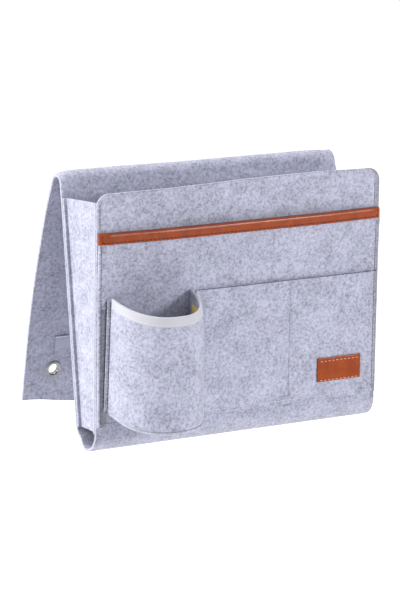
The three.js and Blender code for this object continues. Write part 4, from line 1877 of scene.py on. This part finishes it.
@dataclass
class Sewing:
    """Rows of stitches, each stitch a short thread that dips into the cloth at both ends."""

    finishes: Finishes
    pockets: FlatPockets
    cup: BottlePocket
    fastenings: Fastenings
    length: float = 0.0028
    spacing: float = 1.28
    radius: float = 0.00036
    rise: float = 0.25
    tilt: float = 0.10
    stray: float = 0.0001
    sides: tuple[int, int] = (6, 5)
    seed: int = 11
    sunk: float = -0.25 * CUT.half
    step: float = 0.004
    end: float = 0.002
    panel_end: float = 0.010
    divider_end: float = 0.006
    corner_gap: float = 0.0006
    corner_lift: float = 0.0008
    mouth_rise: float = 0.0001
    mouth_sunk: float = -0.0005
    mouth_end: float = 0.1580
    mouth_gap: float = 0.0004
    foot_ends: Pair = (0.003, 0.0008)
    crossing: Triple = (0.0004, 0.0100, 0.0012)
    label_insets: Pair = (0.0014, 0.0034)
    tape_row: float = 0.0018
    tape_span: Pair = (0.08, 0.05)
    # How far out from the flanges' edges, and how deep, the dark rows of painted shade lie.
    flange_shade_gap: float = 0.0006
    flange_shade_depth: float = -0.0008
    gusset_foot: float = 0.006
    gusset_tops: Pair = (0.221, 0.224)
    strip_inset: float = 0.0017
    strip_height: float = 0.8

    def sew(
        self,
        name: str,
        rows: Sequence[Row],
        thread: Material,
        slot: Slot,
        body: Body = Body.CADDY,
        size: float = 1.0,
        spacing: Optional[float] = None,
    ) -> None:
        """Sews rows of stitches as one piece.

        Args:
            name: The piece's name.
            rows: For each row, points along it with the way out of the cloth.
            thread: The thread.
            slot: The record's slot that it goes with.
            body: The body it rides on.
            size: Length and thickness of the stitches against the usual.
            spacing: Distance from stitch to stitch against a stitch's length, where it isn't the usual.
        """
        bm = bmesh.new()
        draw = random.Random(self.seed)
        for row in rows:
            self._row(bm, row, size, spacing or self.spacing, draw)
        settle(place_object(name, bm, [thread]), slot, body)

    def _row(self, bm: Mesh, row: Row, size: float, spacing: float, draw: random.Random) -> None:
        """Adds one row's stitches.

        Args:
            bm: The mesh to add them to.
            row: Points along the row with the way out of the cloth.
            size: Length and thickness of the stitches against the usual.
            spacing: Distance from stitch to stitch against a stitch's length.
            draw: Where the stitches' unevenness comes from.
        """
        marks = [0.0]
        for (a, _), (b, _) in zip(row, row[1:]):
            marks.append(marks[-1] + (b - a).length)
        pitch = self.length * spacing * size
        count = int(marks[-1] / pitch)
        start = (marks[-1] - count * pitch) / 2 + pitch / 2
        index = 0
        for i in range(count):
            at = start + i * pitch
            while index < len(marks) - 2 and marks[index + 1] < at:
                index += 1
            (a, out_a), (b, out_b) = row[index], row[index + 1]
            share = (at - marks[index]) / (marks[index + 1] - marks[index])
            along = (b - a).normalized()
            out = out_a.lerp(out_b, share).normalized()
            across = out.cross(along).normalized()
            along = (along + across * draw.uniform(-self.tilt, self.tilt)).normalized()
            across = out.cross(along).normalized()
            thick = self.radius * size
            stray = across * draw.uniform(-self.stray, self.stray)
            centre = a.lerp(b, share) + out * thick * self.rise + stray
            turn = Matrix((along, across, out)).transposed().to_4x4()
            scale = Matrix.Diagonal((self.length * size / 2, thick, thick, 1))
            bmesh.ops.create_uvsphere(
                bm,
                u_segments=self.sides[0],
                v_segments=self.sides[1],
                radius=1,
                matrix=Matrix.Translation(centre) @ turn @ scale,
            )

    def _flat_pockets(self) -> None:
        """Sews the flat pockets: both sides, the divider, the mouth, whose dark rows are partly painted
        shade, and the foot.
        """
        pockets, threads, step = self.pockets, self.finishes, self.step
        left, right, top = pockets.phone_left, pockets.phone_right, pockets.phone_top
        foot = CUT.seam_height + self.end
        upper = stations(pockets.binding_top + self.end, CUT.panel_top - self.panel_end, step)
        lower = stations(foot, pockets.binding_top - pockets.binding_height, step)
        rows = []
        for x in (CUT.seam_left, CUT.seam_right):
            rows.append([(CUT.front(x, -self.sunk, z), CUT.front_out) for z in upper])
            rows.append([raised(pockets.magazine_spot(x, z), self.sunk) for z in lower])
        edge = [pockets.magazine_spot(right + self.corner_gap, z) for z in stations(foot, top, step)]
        rows.append([raised(spot, self.corner_lift) for spot in edge])
        self.sew("side_seam_stitches", rows, threads.grey_thread, Slot.FELT, spacing=1.08)

        heights = stations(CUT.seam_height + self.divider_end, top - self.end, step)
        row = [raised(pockets.phone_spot(pockets.divider, z), self.sunk) for z in heights]
        self.sew("phone_pocket_stitches", [row], threads.mid_thread, Slot.FELT, size=0.64)

        # Dark thread along the phone pockets' mouth and on past their right edge: partly an edge stitch,
        # partly painted shade standing in for the mouth's crevice.
        mouth = [pockets.phone_spot(x, top + self.mouth_rise) for x in stations(left + self.end, right, step)]
        end = stations(right + self.mouth_gap, self.mouth_end, step)
        rows = [
            [raised(spot, self.mouth_sunk) for spot in mouth],
            [pockets.magazine_spot(x, top - self.mouth_gap) for x in end],
        ]
        self.sew("phone_mouth_stitches_and_shade", rows, threads.dark_thread, Slot.FELT, size=1.1, spacing=0.88)

        across = stations(left + self.foot_ends[0], right - self.foot_ends[1], step)
        row = [raised(pockets.phone_spot(x, pockets.phone_foot), self.sunk) for x in across]
        self.sew("foot_seam_stitches", [row], threads.pale_thread, Slot.FELT)
        across = stations(self.end - CUT.half_width, left - self.foot_ends[0], step)
        row = [pockets.magazine_spot(x, pockets.phone_foot) for x in across]
        self.sew("left_foot_stitches", [row], threads.grey_thread, Slot.FELT)

    def _leather(self) -> None:
        """Sews the leather fold's foot, the side seams where they cross it, and the label's foot and top."""
        pockets, threads, face = self.pockets, self.finishes, CUT.leather / 2
        left, right = pockets.binding_corners
        along = stations(-left, right, self.step)
        rows = [[raised(pockets.binding_spot(u, pockets.binding_stitch), face) for u in along]]
        for u in (CUT.seam_left, CUT.seam_right):
            rows.append([raised(pockets.binding_spot(u, v), face) for v in stations(*self.crossing)])
        self.sew("leather_fold_stitches", rows, threads.brown_thread, Slot.LEATHER, size=1.25)

        low, high = self.label_insets
        left, right = pockets.label_left + self.end, pockets.label_left + pockets.label_wide - self.end
        heights = pockets.label_foot + low, pockets.label_foot + pockets.label_tall - high
        across = stations(left, right, self.step)
        rows = [[raised(pockets.label_spot(x, z), face) for x in across] for z in heights]
        self.sew("label_stitches", rows, threads.sand_thread, Slot.LEATHER, size=1.1, spacing=1.5)

    def _bottle_pocket(self) -> None:
        """Sews the foot of the rim tape and the bottle pocket's flanges, and lays dark thread on the felt
        beside the flanges as painted shade.
        """
        cup, threads, (end, step) = self.cup, self.finishes, self.tape_span
        tape = [cup.tape_spot(angle, self.tape_row) for angle in stations(end, math.pi - end, step)]
        row = [raised(spot, cup.tape / 2) for spot in tape]
        self.sew("rim_tape_stitches", [row], threads.pale_thread, Slot.TAPE, size=0.75)

        line, rows = cup.wall_line(), []
        heights = stations(cup.foot + self.end, cup.rim - self.end, self.step)
        # The rows just outside the flanges' edges are dark thread laid as painted shade; the rows at the
        # bends are stitching.
        for index, aside in ((0, -self.flange_shade_gap), (3, 0.0), (-4, 0.0), (-1, self.flange_shade_gap)):
            x, y, out = line[index]
            if aside:
                rows.append([(cup.point(x + aside, self.flange_shade_depth, z), out) for z in heights])
            else:
                rows.append([raised((cup.point(x, y, z), out), CUT.half) for z in heights])
        self.sew("bottle_pocket_stitches_and_shade_lines", rows, threads.dark_thread, Slot.FELT, size=1.2, spacing=0.95)

    def _gussets(self) -> None:
        """Sews the gussets' rear flanges, through to the back panel's rear face."""
        near, far = (stations(self.gusset_foot, top, self.step) for top in self.gusset_tops)
        depth, out, rows = 2 * CUT.felt + CUT.seat, CUT.back_out, []

        def seam(z: float, side: int) -> float:
            """Where the seam on one side lies at a height up the back panel, from mid-width."""
            return side * (CUT.rear_seam - CUT.drawn(side, CUT.back_length - z))

        for side in (-1, 1):
            rows.append([(CUT.back(seam(z, side), -depth, z), -out) for z in near])
            rows.append([(CUT.back(seam(z, side), self.sunk, z), out) for z in far])
        self.sew("gusset_stitches", rows, self.finishes.mid_thread, Slot.FELT, spacing=1.0)

    def _strip_rows(self, foot: float, place: Place) -> list[Row]:
        """Rows along both edges of a fastening strip, on its face and through on the felt's other face.

        Args:
            foot: Height of the strip's lower edge along the felt.
            place: Where the points of the strip's middle lie.

        Returns:
            The rows.
        """
        fast, rows = self.fastenings, []
        half = fast.strip_thick / 2
        through = half + CUT.seat + CUT.felt
        across = stations(self.end - fast.strip_half, fast.strip_half - self.end, self.step)
        for v in (foot + self.strip_inset, foot + fast.strip_tall - self.strip_inset):
            middle = [place(u, v) for u in across]
            rows.append([raised(spot, half * self.strip_height) for spot in middle])
            rows.append([(point - out * through, -out) for point, out in middle])
        return rows

    def _strips(self) -> None:
        """Sews the hook strip and the loop strip."""
        fast, threads = self.fastenings, self.finishes
        rows = self._strip_rows(fast.hook_foot, fast.hook_spot)
        self.sew("hook_strip_stitches", rows, threads.mid_thread, Slot.HOOK, Body.FLAP, size=0.9)
        rows = self._strip_rows(fast.loop_foot, fast.loop_spot)
        self.sew("loop_strip_stitches", rows, threads.grey_thread, Slot.HOOK, size=0.9)

    def build(self) -> None:
        """Sews every seam."""
        for sew in (self._flat_pockets, self._leather, self._bottle_pocket, self._gussets, self._strips):
            sew()


@dataclass(frozen=True)
class Lamp:
    """A soft round lamp: the way from the caddy to it, its distance and width, and its power in watts."""

    name: str
    way: Triple
    far: float
    size: float
    power: float


@dataclass
class Studio:
    """Camera, lamps, white surroundings and a pale floor."""

    distance: float = 2.864
    azimuth: float = math.radians(29.89)
    elevation: float = math.radians(11.81)
    roll: float = math.radians(0.20)
    lens: float = 176.05
    target: Triple = (-0.04439, -0.08011, -0.12182)
    sensor: float = 36
    far: float = 200
    lamp_target: Triple = (0, -0.03, -0.13)
    floor_drop: float = 0.30
    floor_half: float = 40
    floor_tone: float = 0.85
    floor_glow: float = 0.46
    ambient: float = 0.64
    lamps: tuple[Lamp, ...] = (
        Lamp("left_key", (-0.93, 0.28, 0.32), 2.4, 1.0, 56),
        Lamp("right_fill", (0.49, -0.84, 0.24), 3.0, 0.6, 40),
        Lamp("top_light", (-0.15, 0.30, 0.94), 2.6, 1.0, 34),
    )

    def _camera(self) -> None:
        """Stands the camera where the photograph was taken from."""
        data = bpy.data.cameras.new("view")
        data.lens = self.lens
        data.sensor_width = self.sensor
        data.clip_end = self.far
        camera = bpy.data.objects.new("view", data)
        bpy.context.scene.collection.objects.link(camera)
        level, rise = math.cos(self.elevation), math.sin(self.elevation)
        back = Vector((-math.sin(self.azimuth) * level, -math.cos(self.azimuth) * level, rise))
        right = Vector((0, 0, 1)).cross(back).normalized()
        up = back.cross(right)
        sine, cosine = math.sin(self.roll), math.cos(self.roll)
        right, up = right * cosine + up * sine, up * cosine - right * sine
        turn = Matrix((right, up, back)).transposed().to_4x4()
        camera.matrix_world = Matrix.Translation(Vector(self.target) + back * self.distance) @ turn
        bpy.context.scene.camera = camera

    def _lights(self) -> None:
        """Hangs the lamps, which all point at the caddy."""
        for lamp in self.lamps:
            data = bpy.data.lights.new(lamp.name, "AREA")
            data.shape = "DISK"
            data.size = lamp.size
            data.energy = lamp.power
            light = bpy.data.objects.new(lamp.name, data)
            bpy.context.scene.collection.objects.link(light)
            arm = Vector(lamp.way).normalized()
            turn = arm.to_track_quat("Z", "Y").to_matrix().to_4x4()
            light.matrix_world = Matrix.Translation(Vector(self.lamp_target) + arm * lamp.far) @ turn

    def _world(self) -> None:
        """Sets an even light, and white where the camera or a bright surface looks past the caddy."""
        world = bpy.data.worlds.new("white_room")
        bpy.context.scene.world = world
        world.use_nodes = True
        wiring = Wiring(world.node_tree)
        rays = wiring.add("LightPath")
        seen = wiring.math(
            "MAXIMUM",
            wiring.math("MAXIMUM", (rays, "Is Camera Ray"), (rays, "Is Glossy Ray")),
            (rays, "Is Transmission Ray"),
        )
        strength = wiring.plus(wiring.times(seen, 1 - self.ambient), self.ambient)
        light = wiring.add("Background", {"Color": (1.0, 1.0, 1.0), "Strength": strength})
        wiring.add("OutputWorld", {"Surface": (light, 0)})

    def _floor(self) -> None:
        """Lays the floor, which stays white where the camera sees it and keeps the shadow."""
        bm = bmesh.new()
        bmesh.ops.create_grid(bm, x_segments=2, y_segments=2, size=self.floor_half)
        bmesh.ops.translate(bm, verts=bm.verts[:], vec=(0, 0, CAD_BOX[0].z - self.floor_drop))
        material = bpy.data.materials.new("pale_floor")
        material.use_nodes = True
        wiring = Wiring(material.node_tree)
        rays = wiring.add("LightPath")
        matt = wiring.add("BsdfDiffuse", {"Color": (self.floor_tone,) * 3})
        glow = wiring.add("Emission", {"Color": (1.0, 1.0, 1.0), "Strength": self.floor_glow})
        both = wiring.add("AddShader", {0: (matt, 0), 1: (glow, 0)})
        shader = wiring.add("MixShader", {0: (rays, "Is Camera Ray"), 1: (matt, 0), 2: (both, 0)})
        wiring.add("OutputMaterial", {"Surface": (shader, 0)})
        place_object("pale_floor", bm, [material])

    def build(self) -> None:
        """Sets up the view, the lamps and the room."""
        self._camera()
        self._lights()
        self._world()
        self._floor()
        bpy.context.scene.view_settings.view_transform = "Standard"


def main() -> None:
    """Builds the caddy piece by piece and sets up the studio."""
    logging.basicConfig(level=logging.INFO, format="%(name)s %(message)s")
    Studio().build()
    finishes = Finishes()
    MainStrip(finishes).build()
    for side in (-1, 1):
        Gusset(finishes, side).build()
    pockets, cup, fastenings = FlatPockets(finishes), BottlePocket(finishes), Fastenings(finishes)
    for assembly in (pockets, cup, fastenings):
        assembly.build()
    Sewing(finishes, pockets, cup, fastenings).build()


if __name__ == "__main__":
    main()
